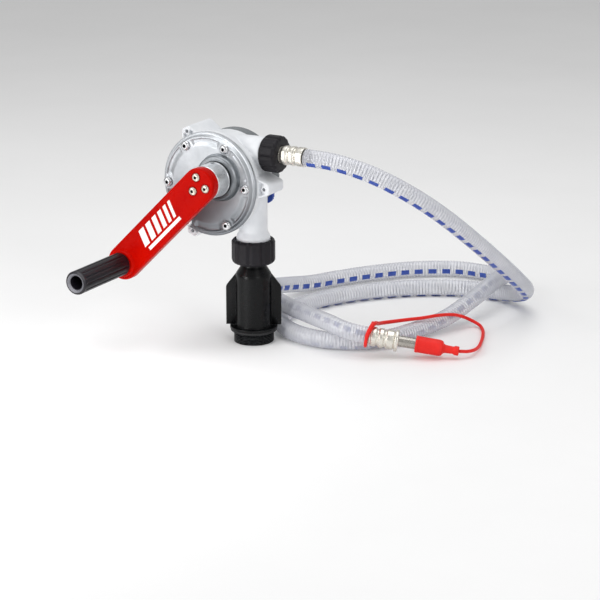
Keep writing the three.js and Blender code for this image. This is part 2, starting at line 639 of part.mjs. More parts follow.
// The outlet's own frame: z runs along +X from the bung axis.
const outlet = new THREE.Group();
outlet.rotation.y = Math.PI / 2;
outlet.position.z = OUTLET_Z;
pump.add(outlet);
outlet.add(piece("outlet_union_nut", unionNut(OUTLET_NUT, true), BLACK_PLASTIC));
outlet.add(piece("outlet_flat_seal", ring(13, 20, SPIGOT_END + GAP, 41), RUBBER));
outlet.add(piece("hose_tail", hoseTail(), ZINC));
const outletFerrule = piece("outlet_ferrule", ferrule(HOSE_START - OUTLET_NUT.high - 1.8, TAIL_R + GAP), ZINC);
outletFerrule.position.z = OUTLET_NUT.high + 0.8;
outlet.add(outletFerrule);

// The hose ends on the end fitting's axis.
const hosePoints = HOSE_ROUTE.map(([x, y, z]) => new THREE.Vector3(x, y, z));
hosePoints.push(FITTING_START.clone());
const hoseEnds = [
  rod(20, -20, 0).rotateY(Math.PI / 2).translate(HOSE_START + GAP, 0, OUTLET_Z),
  rod(20, -GAP, 20).applyQuaternion(FITTING_TURN).translate(...FITTING_START.toArray()),
];
const hose = build([tube(hosePoints, HOSE_R, HOSE_SIDES, HOSE_STEPS)], hoseEnds);
pump.add(piece("delivery_hose", hose, CLEAR_PVC));

const fitting = new THREE.Group();
fitting.position.copy(FITTING_START);
fitting.quaternion.copy(FITTING_TURN);
pump.add(fitting);
fitting.add(piece("end_ferrule", endFerrule(), ZINC));
fitting.add(piece("spout_tube", ring(SPOUT_R - 1.4, SPOUT_R, 1, CAP_END - 8), STEEL));
fitting.add(piece("spout_cap", spoutCap(), RED_RUBBER));
fitting.add(piece("strap_ring", ring(HOSE_R + 2.6, HOSE_R + 5, -7, -2), RED_RUBBER));

const strapPoints = STRAP_ROUTE.map(([x, y, z]) => new THREE.Vector3(x, y, z));
strapPoints.unshift(alongFitting(KNOB_END));
const strapEnd = rod(9, KNOB_END - 8, KNOB_END + GAP).applyQuaternion(FITTING_TURN)
  .translate(...FITTING_START.toArray());
const strap = build([tube(strapPoints, STRAP_R, STRAP_SIDES, STRAP_STEPS)], [strapEnd]);
pump.add(piece("cap_strap", strap, RED_RUBBER));

export default pump;
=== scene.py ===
"""Hand-cranked rotary vane barrel pump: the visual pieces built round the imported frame.

Lengths in the named values are millimetres, angles are degrees, and MM scales to metres.
The pump head is drawn in its own frame: x is the row's X, y is its Z, and z runs towards
the crank, along -Y. A profile is a list of (radius, z) points, and an outline of (x, y).
"""
import json
from math import ceil, cos, dist, hypot, pi, radians, sin, sqrt

import bpy
from mathutils import Matrix, Vector


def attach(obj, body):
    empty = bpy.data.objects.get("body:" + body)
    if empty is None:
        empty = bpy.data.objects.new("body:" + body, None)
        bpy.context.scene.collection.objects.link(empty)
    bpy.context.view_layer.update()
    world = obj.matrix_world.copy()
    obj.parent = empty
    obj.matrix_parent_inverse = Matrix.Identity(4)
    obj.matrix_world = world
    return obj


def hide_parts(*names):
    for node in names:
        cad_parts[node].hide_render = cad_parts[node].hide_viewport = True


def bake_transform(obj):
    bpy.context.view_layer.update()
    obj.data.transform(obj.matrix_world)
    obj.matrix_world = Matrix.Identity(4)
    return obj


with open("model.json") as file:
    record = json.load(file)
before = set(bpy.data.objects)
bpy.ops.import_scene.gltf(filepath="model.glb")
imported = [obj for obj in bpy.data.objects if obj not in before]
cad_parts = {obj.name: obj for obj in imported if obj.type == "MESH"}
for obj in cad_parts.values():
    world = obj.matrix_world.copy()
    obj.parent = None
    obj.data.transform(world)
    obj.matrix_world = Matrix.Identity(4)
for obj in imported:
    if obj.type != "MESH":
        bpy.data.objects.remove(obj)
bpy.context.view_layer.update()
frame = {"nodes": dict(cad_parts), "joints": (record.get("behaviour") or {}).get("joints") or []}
scene = bpy.context.scene

MM = 0.001
TAU = 2 * pi
joints = {j["name"]: j for j in frame["joints"]}

# ---------- driving dimensions
# Casing and covers, with centres in the head's front view.
SHAFT = (-28.0, 255.5)
CASE = (-49.0, 242.0)
CASE_HALF = 36.0
CASE_BACK_R = 66.0
CHAMBER_R = 43.3
CHAMBER_OFFSET = 7.5
CHAMBER_ANGLE = 200
COVER_BACK = 37.4
COVER_R = 77.0
COVER_FACE = 48.8
COVER_LEDGE = 43.2
COVER_BORE_R = 11.3
SCREW_CENTRE = (-49.5, 241.2)
SCREW_CIRCLE = 65.0
SCREW_TURN = 1.5
SCREW_SEAT = 49.3
REAR_SCREW_CIRCLE = 60.0
REAR_FACE = 49.4
REAR_RIM_R = 69.0
PLUG = (-9.0, 211.0)

# Each lug's direction, its shift outwards, the depth of its back and what its end is trimmed by.
LUGS = ((0, 0, -8, 0), (120, -3.5, -28, 2.5), (246, -3.5, -8, 2))
LUG_END = 96.0
LUG_HOLE_R = 87.0
LUG_BOSS_R = 4.8
NECK_END = 134.2
NECK_R = 21.0
OUTLET_Z = 288.0

# Crank, from its hub out to its grip.
HUB_R = 25.7
HUB_BACK = 60.2
HUB_FRONT = 91.0
ARM_BACK = 91.3
ARM_FRONT = 107.8
ARM_HALF = 25.4
THROW = 187.0
CRANK_ANGLE = 225
CRANK_SCREW_CIRCLE = 12.4
CRANK_SCREW_ANGLES = (225, 345, 105)
GRIP_R = 17.3
GRIP_BACK = 112.0
GRIP_FRONT = 228.0
SPINDLE_END = 150.0

# Unions, bung adapter and suction side.
# Each nut's radius, low end, high end, bore radius, lip radius and lip thickness.
INLET_NUT = (32.0, 121.0, 157.0, 27.2, 20.5, 3.7)
OUTLET_NUT = (27.0, 22.0, 49.0, 21.2, 12.6, 4.0)
NUT_LOBES = 10
THREAD_R = 29.8
THREAD_PITCH = 2.31
THREAD_DEPTH = 1.4
ADAPTER_BORE_R = 14.6
ADAPTER_R = 26.7
COLLAR_LOW = 20.5
COLLAR_HIGH = 24.5
COLLAR_R = 35.5
WING_ANGLE = 27
WING_HALF = 2.25
UPPER_TUBE_R = 14.2
UPPER_TUBE_END = -360.0
LOWER_TUBE_R = 12.2
LOWER_TUBE_END = -395.0
TUBE_STEP = -363.3
FOOT_SEAT = -401.7

# Hose, its fittings and the cap on its strap.
HOSE_R = 13.0
HOSE_START = 88.3
HOSE_PITCH = 5.0
HOSE_RIB = 0.28
WIRE_LAY_R = 11.9
WIRE_R = 0.5
DASH_R = (12.4, 13.02)
DASH_LENGTH = 14
DASH_PERIOD = 24
FERRULE_R = 14.25
FERRULE_GROOVE_R = 12.3
FITTING_START = Vector((185, 14.5, 31))
SPOUT_R = 8.2
CAP_START = 68.0
CAP_END = 108.0
CAP_R = 12.5
KNOB_END = 132.0
STRAP_R = 2.7
RING_R = 15.6

# The hose leaves the outlet, falls to the drum head and lies there in two turns.
HOSE_ROUTE = [
    (88, 0, 288), (136, 2.5, 285), (184, 13.5, 272), (227, 40, 246), (261, 84, 208),
    (285, 145, 159), (301, 212, 108), (307, 270, 67), (301, 317, 38), (274, 349, 20.5),
    (230, 363, 13.5), (173, 356, 13.3), (118, 329, 13.3), (68, 286, 13.3), (28, 233, 13.3),
    (2, 175, 13.3), (-6, 117, 13.3), (8, 67, 13.3), (46, 30, 13.3), (98, 15, 13.3),
    (149, 28, 13.3), (187, 66, 13.3), (209, 124, 14), (227, 187, 18), (242, 252, 33),
    (248, 316, 44.5), (245, 372, 42), (228, 420, 27), (188, 452, 14.5), (126, 455, 13.3),
    (58, 417, 13.3), (-2, 347, 13.3), (-48, 264, 14), (-67, 183, 27), (-44, 112, 40),
    (10, 68, 41), (70, 37, 41), (119, 15, 40.5), (151, 8, 36),
]
# The strap runs from the cap's knob, over the hose, to the ring behind the end ferrule.
STRAP_ROUTE = [
    (314, 74, 10.5), (317, 92, 8), (313, 117, 5), (304, 146, 3), (293, 177, 3),
    (281, 202, 3), (268, 217, 5), (255, 215, 11), (247, 199, 20), (240, 179, 27),
    (229, 153, 31), (215, 129, 31.5), (200, 109, 32), (187, 88, 33), (181, 66, 36),
    (183.5, 45, 41), (188, 32, 46),
]
# Its end lies round the ring: (radius, degrees, z) in the fitting's frame.
STRAP_WRAP = [(19.7, 0, 5), (19.7, 22, 2.5), (19.2, 42, 0), (17.6, 62, -2), (15.8, 84, -2.8)]


# ---------- frames
def axes(origin, x_axis, z_axis):
    """A 4x4 whose columns are the frame's own axes, with its origin in millimetres."""
    z = Vector(z_axis).normalized()
    x = (Vector(x_axis) - z * Vector(x_axis).dot(z)).normalized()
    turn = Matrix((x, z.cross(x), z)).transposed().to_4x4()
    return Matrix.Translation(Vector(origin) * MM) @ turn


def head_at(x, y, z=0.0, turn=0.0):
    """The head's frame, moved to a point of the front view and turned about its axis."""
    moved = HEAD @ Matrix.Translation(Vector((x, y, z)) * MM)
    return moved @ Matrix.Rotation(radians(turn), 4, "Z")


def facing_back(x, y, z):
    """The head's frame at a point, turned so that its z runs away from the crank."""
    return head_at(x, y, z) @ Matrix.Rotation(pi, 4, "X")


HEAD = axes((0, 0, 0), (1, 0, 0), (0, -1, 0))
UPRIGHT = axes((0, 0, 0), (1, 0, 0), (0, 0, 1))
OUTLET = axes((0, 0, OUTLET_Z), (0, 1, 0), (1, 0, 0))
FITTING_AXIS = Vector(joints["cap_pull"]["axis"]).normalized()
FITTING = axes(FITTING_START, (0, 0, 1), FITTING_AXIS)


def polar(radius, degrees, centre=(0.0, 0.0)):
    """The (x, y) point at a radius and a direction from a centre."""
    a = radians(degrees)
    return centre[0] + radius * cos(a), centre[1] + radius * sin(a)


CHAMBER = polar(CHAMBER_OFFSET, CHAMBER_ANGLE, SHAFT)
GRIP_CENTRE = polar(THROW, CRANK_ANGLE, SHAFT)


def smoothstep(low, high, value):
    """From 0 at low to 1 at high, level at both."""
    t = min(1.0, max(0.0, (value - low) / (high - low)))
    return t * t * (3 - 2 * t)


def bumps(count, angle, power):
    """Bumps round an axis, from 0 to 1. A high power makes them narrow."""
    return (0.5 + 0.5 * cos(count * angle)) ** power


# ---------- mesh code
def mesh_object(name, verts, faces, sharp=38):
    """A smooth shaded mesh. sharp is the angle from which an edge stays hard."""
    mesh = bpy.data.meshes.new(name)
    mesh.from_pydata([tuple(v) for v in verts], [], faces)
    mesh.update()
    obj = bpy.data.objects.new(name, mesh)
    scene.collection.objects.link(obj)
    shade(obj, sharp)
    return obj


def shade(obj, sharp):
    mesh = obj.data
    mesh.polygons.foreach_set("use_smooth", [True] * len(mesh.polygons))
    mesh.set_sharp_from_angle(angle=radians(sharp))
    mesh.update()


def skin(rows, wrap=False):
    """Faces between rows of points that are closed rings, with flat ends unless the rows wrap."""
    n = len(rows[0])
    verts = [p for row in rows for p in row]
    faces = []
    for a in range(len(rows) if wrap else len(rows) - 1):
        b = (a + 1) % len(rows)
        for i in range(n):
            j = (i + 1) % n
            faces.append((a * n + i, a * n + j, b * n + j, b * n + i))
    if not wrap:
        last = (len(rows) - 1) * n
        faces.append(tuple(reversed(range(n))))
        faces.append(tuple(range(last, last + n)))
    return verts, faces


def gathered(name, parts):
    """One mesh from several (verts, faces) pairs, without merging their faces."""
    verts = []
    faces = []
    for part_verts, part_faces in parts:
        faces += [tuple(len(verts) + i for i in face) for face in part_faces]
        verts += part_verts
    return mesh_object(name, verts, faces)


def placed(place, x, y, z):
    """A point given in millimetres in a frame, as a place in metres."""
    return place @ (Vector((x, y, z)) * MM)


def soften(points, radius, closed, steps=4):
    """A profile with each corner rounded by up to radius."""
    out = []
    count = len(points)
    for i, p in enumerate(points):
        if not closed and i in (0, count - 1):
            out.append(tuple(p))
            continue
        here = Vector(p)
        before = Vector(points[i - 1])
        after = Vector(points[(i + 1) % count])
        reach = min(radius, 0.45 * (here - before).length, 0.45 * (after - here).length)
        start = here + (before - here).normalized() * reach
        end = here + (after - here).normalized() * reach
        for k in range(steps + 1):
            t = k / steps
            q = start * (1 - t) ** 2 + here * 2 * t * (1 - t) + end * t * t
            out.append((q.x, q.y))
    return out


def lathe(name, profile, place, sides=96, soft=0.5, ripple=None):
    """A turned piece: a ring, or solid where its profile starts and ends on the axis.

    soft rounds the corners, and ripple(angle, radius, z) gives what is added to the radius."""
    closed = profile[0][0] > 0
    points = soften(profile, soft, closed)
    if not closed:
        points = points[1:-1]
    rows = []
    for r, z in points:
        row = []
        for i in range(sides):
            a = TAU * i / sides
            rr = r + (ripple(a, r, z) if ripple else 0)
            row.append(placed(place, rr * cos(a), rr * sin(a), z))
        rows.append(row)
    return mesh_object(name, *skin(rows, closed))


def offset_ring(outline, inset):
    """An outline moved inwards along its own normals."""
    out = []
    count = len(outline)
    for i, (x, y) in enumerate(outline):
        ax, ay = outline[i - 1]
        bx, by = outline[(i + 1) % count]
        tx, ty = bx - ax, by - ay
        size = hypot(tx, ty)
        out.append((x - ty / size * inset, y + tx / size * inset))
    return out


def slab(name, outline, levels, place):
    """An outline, listed anticlockwise, raised through (inset, z) levels."""
    rows = []
    for inset, z in levels:
        ring = offset_ring(outline, inset) if inset else outline
        rows.append([placed(place, x, y, z) for x, y in ring])
    return mesh_object(name, *skin(rows))


def stadium_slab(name, half, start, end, levels, place):
    """A straight bar with round ends, centred on y = 0, raised through (inset, z) levels."""
    steps = 32
    turns = [180 * i / steps for i in range(steps + 1)]
    rows = []
    for inset, z in levels:
        ring = [polar(half - inset, 90 + t, (start, 0)) for t in turns]
        ring += [polar(half - inset, t - 90, (end, 0)) for t in turns]
        rows.append([placed(place, x, y, z) for x, y in ring])
    return mesh_object(name, *skin(rows))


def dense(points, gap):
    """A straight-sided outline with points no further apart than gap."""
    out = []
    for i, p in enumerate(points):
        q = points[(i + 1) % len(points)]
        n = max(1, ceil(dist(p, q) / gap))
        out += [(p[0] + (q[0] - p[0]) * k / n, p[1] + (q[1] - p[1]) * k / n) for k in range(n)]
    return out


def applied(obj, sharp=38):
    """Replaces the object's mesh by what its modifiers make of it."""
    bpy.context.view_layer.update()
    graph = bpy.context.evaluated_depsgraph_get()
    mesh = bpy.data.meshes.new_from_object(obj.evaluated_get(graph))
    obj.modifiers.clear()
    obj.data = mesh
    shade(obj, sharp)
    return obj


def combine(obj, tools, operation="DIFFERENCE", sharp=38):
    """The object with the tools cut from it, or joined to it. The tools are used up."""
    for tool in tools:
        step = obj.modifiers.new("combine", "BOOLEAN")
        step.operation = operation
        step.solver = "MANIFOLD"
        step.object = tool
    applied(obj, sharp)
    for tool in tools:
        bpy.data.objects.remove(tool)
    return obj


def joined(name, objects):
    """One mesh from several objects, which are used up."""
    parts = []
    for obj in objects:
        verts = [v.co.copy() for v in obj.data.vertices]
        parts.append((verts, [tuple(p.vertices) for p in obj.data.polygons]))
        bpy.data.objects.remove(obj)
    return gathered(name, parts)


def rod(radius, low, high, place, sides=64):
    """A plain round tool for combine."""
    profile = [(0, low), (radius, low), (radius, high), (0, high)]
    return lathe("tool", profile, place, sides, soft=0)


def hexagon(corner_r, low, high, place):
    """A six-sided tool for combine."""
    outline = [polar(corner_r, 60 * i) for i in range(6)]
    return slab("tool", outline, [(0, low), (0, high)], place)


def repaint(obj, material, place, test):
    """Faces whose centre passes test(radius, z) in a frame get another material."""
    obj.data.materials.append(material)
    index = len(obj.data.materials) - 1
    inverse = place.inverted()
    for face in obj.data.polygons:
        local = inverse @ face.center / MM
        if test(hypot(local.x, local.y), local.z):
            face.material_index = index


# ---------- curves
def curve_through(knots, gap):
    """Close points on the centripetal Catmull-Rom curve through the knots."""
    ends = [knots[0] * 2 - knots[1], *knots, knots[-1] * 2 - knots[-2]]
    out = []
    for a, b, c, d in zip(ends, ends[1:], ends[2:], ends[3:]):
        t1 = sqrt((b - a).length)
        t2 = t1 + sqrt((c - b).length)
        t3 = t2 + sqrt((d - c).length)
        n = max(2, ceil((c - b).length / gap))
        for i in range(n):
            t = t1 + (t2 - t1) * i / n
            ab = a.lerp(b, t / t1)
            bc = b.lerp(c, (t - t1) / (t2 - t1))
            cd = c.lerp(d, (t - t2) / (t3 - t2))
            abc = ab.lerp(bc, t / t2)
            bcd = bc.lerp(cd, (t - t1) / (t3 - t1))
            out.append(abc.lerp(bcd, (t - t1) / (t2 - t1)))
    out.append(knots[-1].copy())
    return out


def even(points, gap):
    """The same line with evenly spaced points, and its length."""
    reach = [0.0]
    for p, q in zip(points, points[1:]):
        reach.append(reach[-1] + (q - p).length)
    count = max(2, round(reach[-1] / gap))
    out = []
    k = 0
    for i in range(count + 1):
        s = reach[-1] * i / count
        while k < len(points) - 2 and reach[k + 1] < s:
            k += 1
        out.append(points[k].lerp(points[k + 1], (s - reach[k]) / (reach[k + 1] - reach[k])))
    return out, reach[-1]


def carried_frames(points, first):
    """(point, side, other side) along a line, without twist."""
    out = []
    side = Vector(first)
    for i, p in enumerate(points):
        along = (points[min(i + 1, len(points) - 1)] - points[max(i - 1, 0)]).normalized()
        side = (side - along * side.dot(along)).normalized()
        out.append((p, side.copy(), along.cross(side)))
    return out


def sweep(name, stations, radius_at, sides):
    """A tube on carried frames. radius_at(i, angle) is in metres."""
    rows = []
    for i, (p, side, other) in enumerate(stations):
        row = []
        for k in range(sides):
            a = TAU * k / sides
            r = radius_at(i, a)
            row.append(p + side * (r * cos(a)) + other * (r * sin(a)))
        rows.append(row)
    return mesh_object(name, *skin(rows), sharp=50)


# ---------- materials
def srgb(code):
    def linear(c):
        return c / 12.92 if c <= 0.04045 else ((c + 0.055) / 1.055) ** 2.4
    return tuple(linear(int(code[i:i + 2], 16) / 255) for i in (0, 2, 4)) + (1.0,)


class Shader:
    """A procedural surface: colour blotches, uneven gloss, grain in the bump, edges of wear and
    painted highlight.
    """

    def __init__(self, name, dark, light, rough, metallic=0.0, blotch=60, **sockets):
        self.material = bpy.data.materials.new(name)
        self.material.use_nodes = True
        self.nodes = self.material.node_tree.nodes
        self.links = self.material.node_tree.links
        self.nodes.clear()
        out = self.nodes.new("ShaderNodeOutputMaterial")
        self.shader = self.nodes.new("ShaderNodeBsdfPrincipled")
        self.links.new(self.shader.outputs[0], out.inputs[0])
        self.shader.inputs["Metallic"].default_value = metallic
        for key, value in sockets.items():
            self.shader.inputs[key.replace("_", " ")].default_value = value
        self.where = self.nodes.new("ShaderNodeTexCoord").outputs["Object"]
        ramp = self.add("ShaderNodeValToRGB", Fac=self.noise(blotch, 5))
        for end, place, code in zip(ramp.color_ramp.elements, (0.3, 0.72), (dark, light)):
            end.position = place
            end.color = srgb(code)
        self.colour = ramp.outputs["Color"]
        self.normal = None
        self.link(self.colour, "Base Color")
        self.link(self.spread(self.noise(blotch * 5, 4), 0.3, 0.7, *rough), "Roughness")

    def add(self, kind, **values):
        """A node with its sockets set or linked. An underscore stands for a space."""
        node = self.nodes.new(kind)
        for key, value in values.items():
            socket = node.inputs[key.replace("_", " ")]
            if isinstance(value, bpy.types.NodeSocket):
                self.links.new(value, socket)
            else:
                socket.default_value = value
        return node

    def pair(self, kind, operation, first, second):
        """A node that works on two values."""
        node = self.nodes.new(kind)
        node.operation = operation
        self.links.new(first, node.inputs[0])
        self.links.new(second, node.inputs[1])
        return node

    def link(self, output, socket):
        self.links.new(output, self.shader.inputs[socket])

    def spread(self, value, low, high, to_low, to_high, kind="LINEAR"):
        """The value's span from low to high, laid over the span from to_low to to_high."""
        node = self.add("ShaderNodeMapRange", Value=value, From_Min=low, From_Max=high,
                        To_Min=to_low, To_Max=to_high)
        node.interpolation_type = kind
        return node.outputs["Result"]

    def noise(self, scale, detail=3, stretch=None):
        where = self.where
        if stretch:
            where = self.add("ShaderNodeMapping", Vector=where, Scale=stretch).outputs["Vector"]
        return self.add("ShaderNodeTexNoise", Vector=where, Scale=scale, Detail=detail,
                        Roughness=0.55).outputs["Fac"]

    def bump(self, height, strength, distance):
        """Adds a layer of bump over what is there. distance is in millimetres."""
        node = self.add("ShaderNodeBump", Height=height, Strength=strength, Distance=distance * MM)
        if self.normal is not None:
            self.links.new(self.normal, node.inputs["Normal"])
        self.normal = node.outputs["Normal"]
        self.link(self.normal, "Normal")
        return self

    def grain(self, scale, strength, distance, detail=3, stretch=None):
        """Noise in the bump."""
        return self.bump(self.noise(scale, detail, stretch), strength, distance)

    def mix(self, mask, code):
        """Lays a colour over the base where the mask is 1."""
        node = self.nodes.new("ShaderNodeMix")
        node.data_type = "RGBA"
        self.links.new(mask, node.inputs["Factor"])
        self.links.new(self.colour, node.inputs["A"])
        node.inputs["B"].default_value = srgb(code)
        self.colour = node.outputs["Result"]
        self.link(self.colour, "Base Color")
        return self

    def painted_reflection_below(self, code, high, low, amount):
        """Painted reflection: a colour laid over the base that comes in from one height down to
        another.
        """
        height = self.add("ShaderNodeSeparateXYZ", Vector=self.where).outputs["Z"]
        band = self.spread(height, high * MM, low * MM, 0, amount, "SMOOTHSTEP")
        return self.mix(band, code)

    def worn_and_highlit_edges(self, code, radius, amount):
        """Edges of another colour, broken up by noise, for wear and painted highlight. radius is in
        millimetres.
        """
        bevel = self.add("ShaderNodeBevel", Radius=radius * MM)
        bevel.samples = 4
        plain = self.nodes.new("ShaderNodeNewGeometry").outputs["Normal"]
        dot = self.pair("ShaderNodeVectorMath", "DOT_PRODUCT", bevel.outputs["Normal"], plain)
        edge = self.spread(dot.outputs["Value"], 0.95, 0.8, 0, amount)
        broken = self.spread(self.noise(420, 5), 0.4, 0.6, 0, 1)
        both = self.pair("ShaderNodeMath", "MULTIPLY", edge, broken)
        return self.mix(both.outputs["Value"], code)


def build_materials():
    """Every material by its name. The two colours are the ends of its blotches."""
    made = {}

    def keep(name, dark, light, rough, **values):
        shader = Shader(name, dark, light, rough, **values)
        made[name] = shader.material
        return shader

    # Castings and turned metal.
    keep("grey_paint", "dadde1", "e8eaed", (0.36, 0.5), blotch=40, Coat_Weight=0.12,
         Coat_Roughness=0.3).grain(900, 0.25, 0.08, 4).grain(140, 0.12, 0.2)
    # The cover darkens towards its lower part: a painted reflection of dark surroundings below.
    keep("cover_aluminium", "b8bcc0", "cccfd3", (0.32, 0.44), metallic=0.72, blotch=45).painted_reflection_below(
        "4c5056", 285, 185, 0.75).grain(1100, 0.25, 0.05, 4).grain(260, 0.1, 0.12)
    # The boss is the cover's aluminium made darker as painted shade, with the same painted
    # reflection below.
    keep("boss_aluminium_painted_shade", "868a8e", "9da1a5", (0.3, 0.4), metallic=0.85, blotch=45).painted_reflection_below(
        "3f4348", 275, 225, 0.7).grain(1100, 0.2, 0.04, 4)
    keep("hub_aluminium", "d3d6d9", "e6e8ea", (0.26, 0.36), metallic=0.9).grain(
        20, 0.25, 0.012, 3, (1, 60, 1))
    keep("rear_grey", "7c8083", "93979a", (0.5, 0.65), metallic=0.25, blotch=45).grain(
        1100, 0.4, 0.12, 4).worn_and_highlit_edges("b9bcbe", 0.9, 0.6)
    keep("steel", "c3c4c6", "d8d9db", (0.2, 0.32), metallic=1, blotch=90).grain(1200, 0.1, 0.015)
    keep("warm_steel", "c9c2b2", "ddd8cb", (0.22, 0.34), metallic=0.95, blotch=90).grain(
        1200, 0.1, 0.015)
    keep("tube_steel", "a19d96", "bbb7b0", (0.22, 0.34), metallic=1).grain(
        30, 0.3, 0.04, 3, (60, 60, 1))
    keep("zinc", "dcd8cd", "edeae2", (0.24, 0.36), metallic=0.95, blotch=70).grain(500, 0.1, 0.02)
    keep("bronze", "946633", "b98a4d", (0.35, 0.5), metallic=0.9, blotch=90).grain(1300, 0.3, 0.05)
    # The dark inside of a screw's socket is painted shade in the recess.
    keep("socket_painted_shade", "17181a", "2a2b2d", (0.5, 0.65), metallic=0.6, blotch=90).grain(
        1500, 0.3, 0.04)
    keep("wire_steel", "5a5e68", "7f838c", (0.2, 0.3), metallic=0.6, blotch=90).grain(
        1300, 0.2, 0.03)

    # Paint and print.
    keep("red_paint", "b00400", "bf0b00", (0.26, 0.3), blotch=30, Specular_IOR_Level=0.05).grain(
        300, 0.05, 0.02, 2)
    keep("white_print", "e9e6e3", "f7f5f3", (0.4, 0.5), blotch=90).grain(1300, 0.2, 0.03)

    # Rubber and plastics.
    keep("carbon", "2c2d2f", "404143", (0.45, 0.6), metallic=0.1).grain(1500, 0.3, 0.06)
    keep("red_rubber", "dd1c16", "ec2820", (0.42, 0.56), Specular_IOR_Level=0.3).grain(
        1300, 0.35, 0.06, 4).grain(200, 0.1, 0.2)
    keep("black_rubber", "1d1d1e", "2b2b2c", (0.7, 0.85)).grain(1400, 0.4, 0.07)
    keep("black_plastic", "161418", "1f1d22", (0.4, 0.52), Specular_IOR_Level=0.22).grain(
        1600, 0.3, 0.04).worn_and_highlit_edges("3a3a40", 0.7, 0.45)
    keep("grip_plastic", "0f0e12", "17151b", (0.32, 0.42), Specular_IOR_Level=0.3).grain(
        1500, 0.2, 0.03).worn_and_highlit_edges("302e38", 0.7, 0.4)
    keep("grip_end", "4d4d52", "626268", (0.4, 0.5)).grain(1500, 0.3, 0.05)
    # The light edges on the gloss black are a painted highlight.
    keep("gloss_black", "040506", "07080a", (0.26, 0.32), blotch=50, Specular_IOR_Level=0.2).grain(
        60, 0.05, 0.04, 2).worn_and_highlit_edges("85888b", 0.8, 0.7)
    keep("blue_plastic", "1f3f98", "2b4eac", (0.36, 0.48)).grain(1400, 0.3, 0.05)
    keep("stripe_blue", "25409a", "3355ad", (0.3, 0.4), blotch=200).grain(1400, 0.2, 0.03)

    # The hose is clearer where it is seen straight on.
    hose = keep("clear_pvc", "e9ebf6", "f8f9ff", (0.14, 0.22), blotch=40, Coat_Weight=1.0,
                Coat_Roughness=0.07).grain(110, 0.12, 0.2, 2)
    facing = hose.add("ShaderNodeLayerWeight", Blend=0.3).outputs["Facing"]
    hose.link(hose.spread(facing, 0, 1, 0.38, 0.8), "Alpha")
    return made


materials = build_materials()


def finish_piece(obj, body, material, *replaced, slot=None):
    """Gives a piece its material, its body and the CAD nodes that it stands for."""
    obj.data.materials.clear()
    obj.data.materials.append(materials[material])
    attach(obj, body)
    if replaced:
        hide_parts(*replaced)
    return obj


def turned(name, node, profile, place, body, material, sides=96, soft=0.5, ripple=None, slot=None):
    """A finished piece turned from a profile, which stands for a CAD node where one is named."""
    piece = lathe(name, profile, place, sides, soft, ripple)
    return finish_piece(piece, body, material, *([node] if node else []), slot=slot)


# ---------- camera
CAMERA_PLACE = (1.550, -2.655, 0.990)
CAMERA_ELEVATION = 16.8
CAMERA_AZIMUTH = 29
camera_data = bpy.data.cameras.new("camera")
camera_data.lens = 130
camera_data.sensor_width = 36
camera = bpy.data.objects.new("camera", camera_data)
camera.location = CAMERA_PLACE
camera.rotation_euler = (radians(90 - CAMERA_ELEVATION), 0, radians(CAMERA_AZIMUTH))
scene.collection.objects.link(camera)
scene.camera = camera


# ---------- hose
def on_station(station, radius, angle):
    """A point round a line's station, with the radius in millimetres."""
    point, side, other = station
    return point + side * (radius * MM * cos(angle)) + other * (radius * MM * sin(angle))


def hose_helix(line):
    """The reinforcing wire's own line, one turn to a pitch."""
    per_turn = 16
    fine, _ = even(line, HOSE_PITCH / per_turn * MM)
    stations = carried_frames(fine, (0, -1, 0))
    return [on_station(s, WIRE_LAY_R, TAU * i / per_turn) for i, s in enumerate(stations)]


def hose_dashes(stations, length):
    """The broken stripe along the hose, which turns round the hose's side partway along."""
    half = radians(17.5)
    centre = radians(36)
    twist = radians(52)
    twist_from, twist_to = 1150, 1650
    step = length / (len(stations) - 1) / MM
    start = 6.0
    parts = []
    while start + DASH_LENGTH + 1 < length / MM:
        rows = []
        for i in range(round(start / step), round((start + DASH_LENGTH) / step) + 1):
            lay = centre + twist * smoothstep(twist_from, twist_to, i * step)
            arc = [lay + half * (2 * k / 5 - 1) for k in range(6)]
            ring = [(DASH_R[1], a) for a in arc] + [(DASH_R[0], a) for a in reversed(arc)]
            rows.append([on_station(stations[i], r, a) for r, a in ring])
        parts.append(skin(rows))
        start += DASH_PERIOD
    return gathered("delivery_hose_stripe", parts)


def delivery_hose():
    per_rib = 5
    knots = [Vector(p) * MM for p in HOSE_ROUTE] + [FITTING_START * MM - FITTING_AXIS * 0.3 * MM]
    knots[0] = Vector((HOSE_START, 0, OUTLET_Z)) * MM
    line, length = even(curve_through(knots, 1.5 * MM), HOSE_PITCH / per_rib * MM)
    for p in line:
        p.z = max(p.z, HOSE_R * MM)
    stations = carried_frames(line, (0, -1, 0))

    def ribbed(i, angle):
        return (HOSE_R - 0.3 + HOSE_RIB * cos(TAU * i / per_rib - angle)) * MM

    shell = sweep("delivery_hose_shell", stations, ribbed, 24)
    wire_stations = carried_frames(hose_helix(line), (1, 0, 0))
    wire = sweep("delivery_hose_wire", wire_stations, lambda i, angle: WIRE_R * MM, 5)
    dashes = hose_dashes(stations, length)
    # A dark ring inside the hose's start: painted shadow of the hose tail seen through the clear
    # wall.
    low, high = HOSE_START - 0.4, HOSE_START + 4.4
    shadow_band_profile = [(9.9, low), (11.4, low), (11.4, high), (9.9, high)]
    turned("delivery_hose_shadow_band", None, shadow_band_profile, OUTLET, "pump", "black_rubber", 64, 0.4)
    finish_piece(shell, "pump", "clear_pvc", "delivery_hose")
    finish_piece(wire, "pump", "wire_steel")
    finish_piece(dashes, "pump", "stripe_blue", slot="blue_plastic")
    return shell, wire, dashes, line, length


hose_shell, hose_wire, hose_stripe, hose_line, hose_length = delivery_hose()


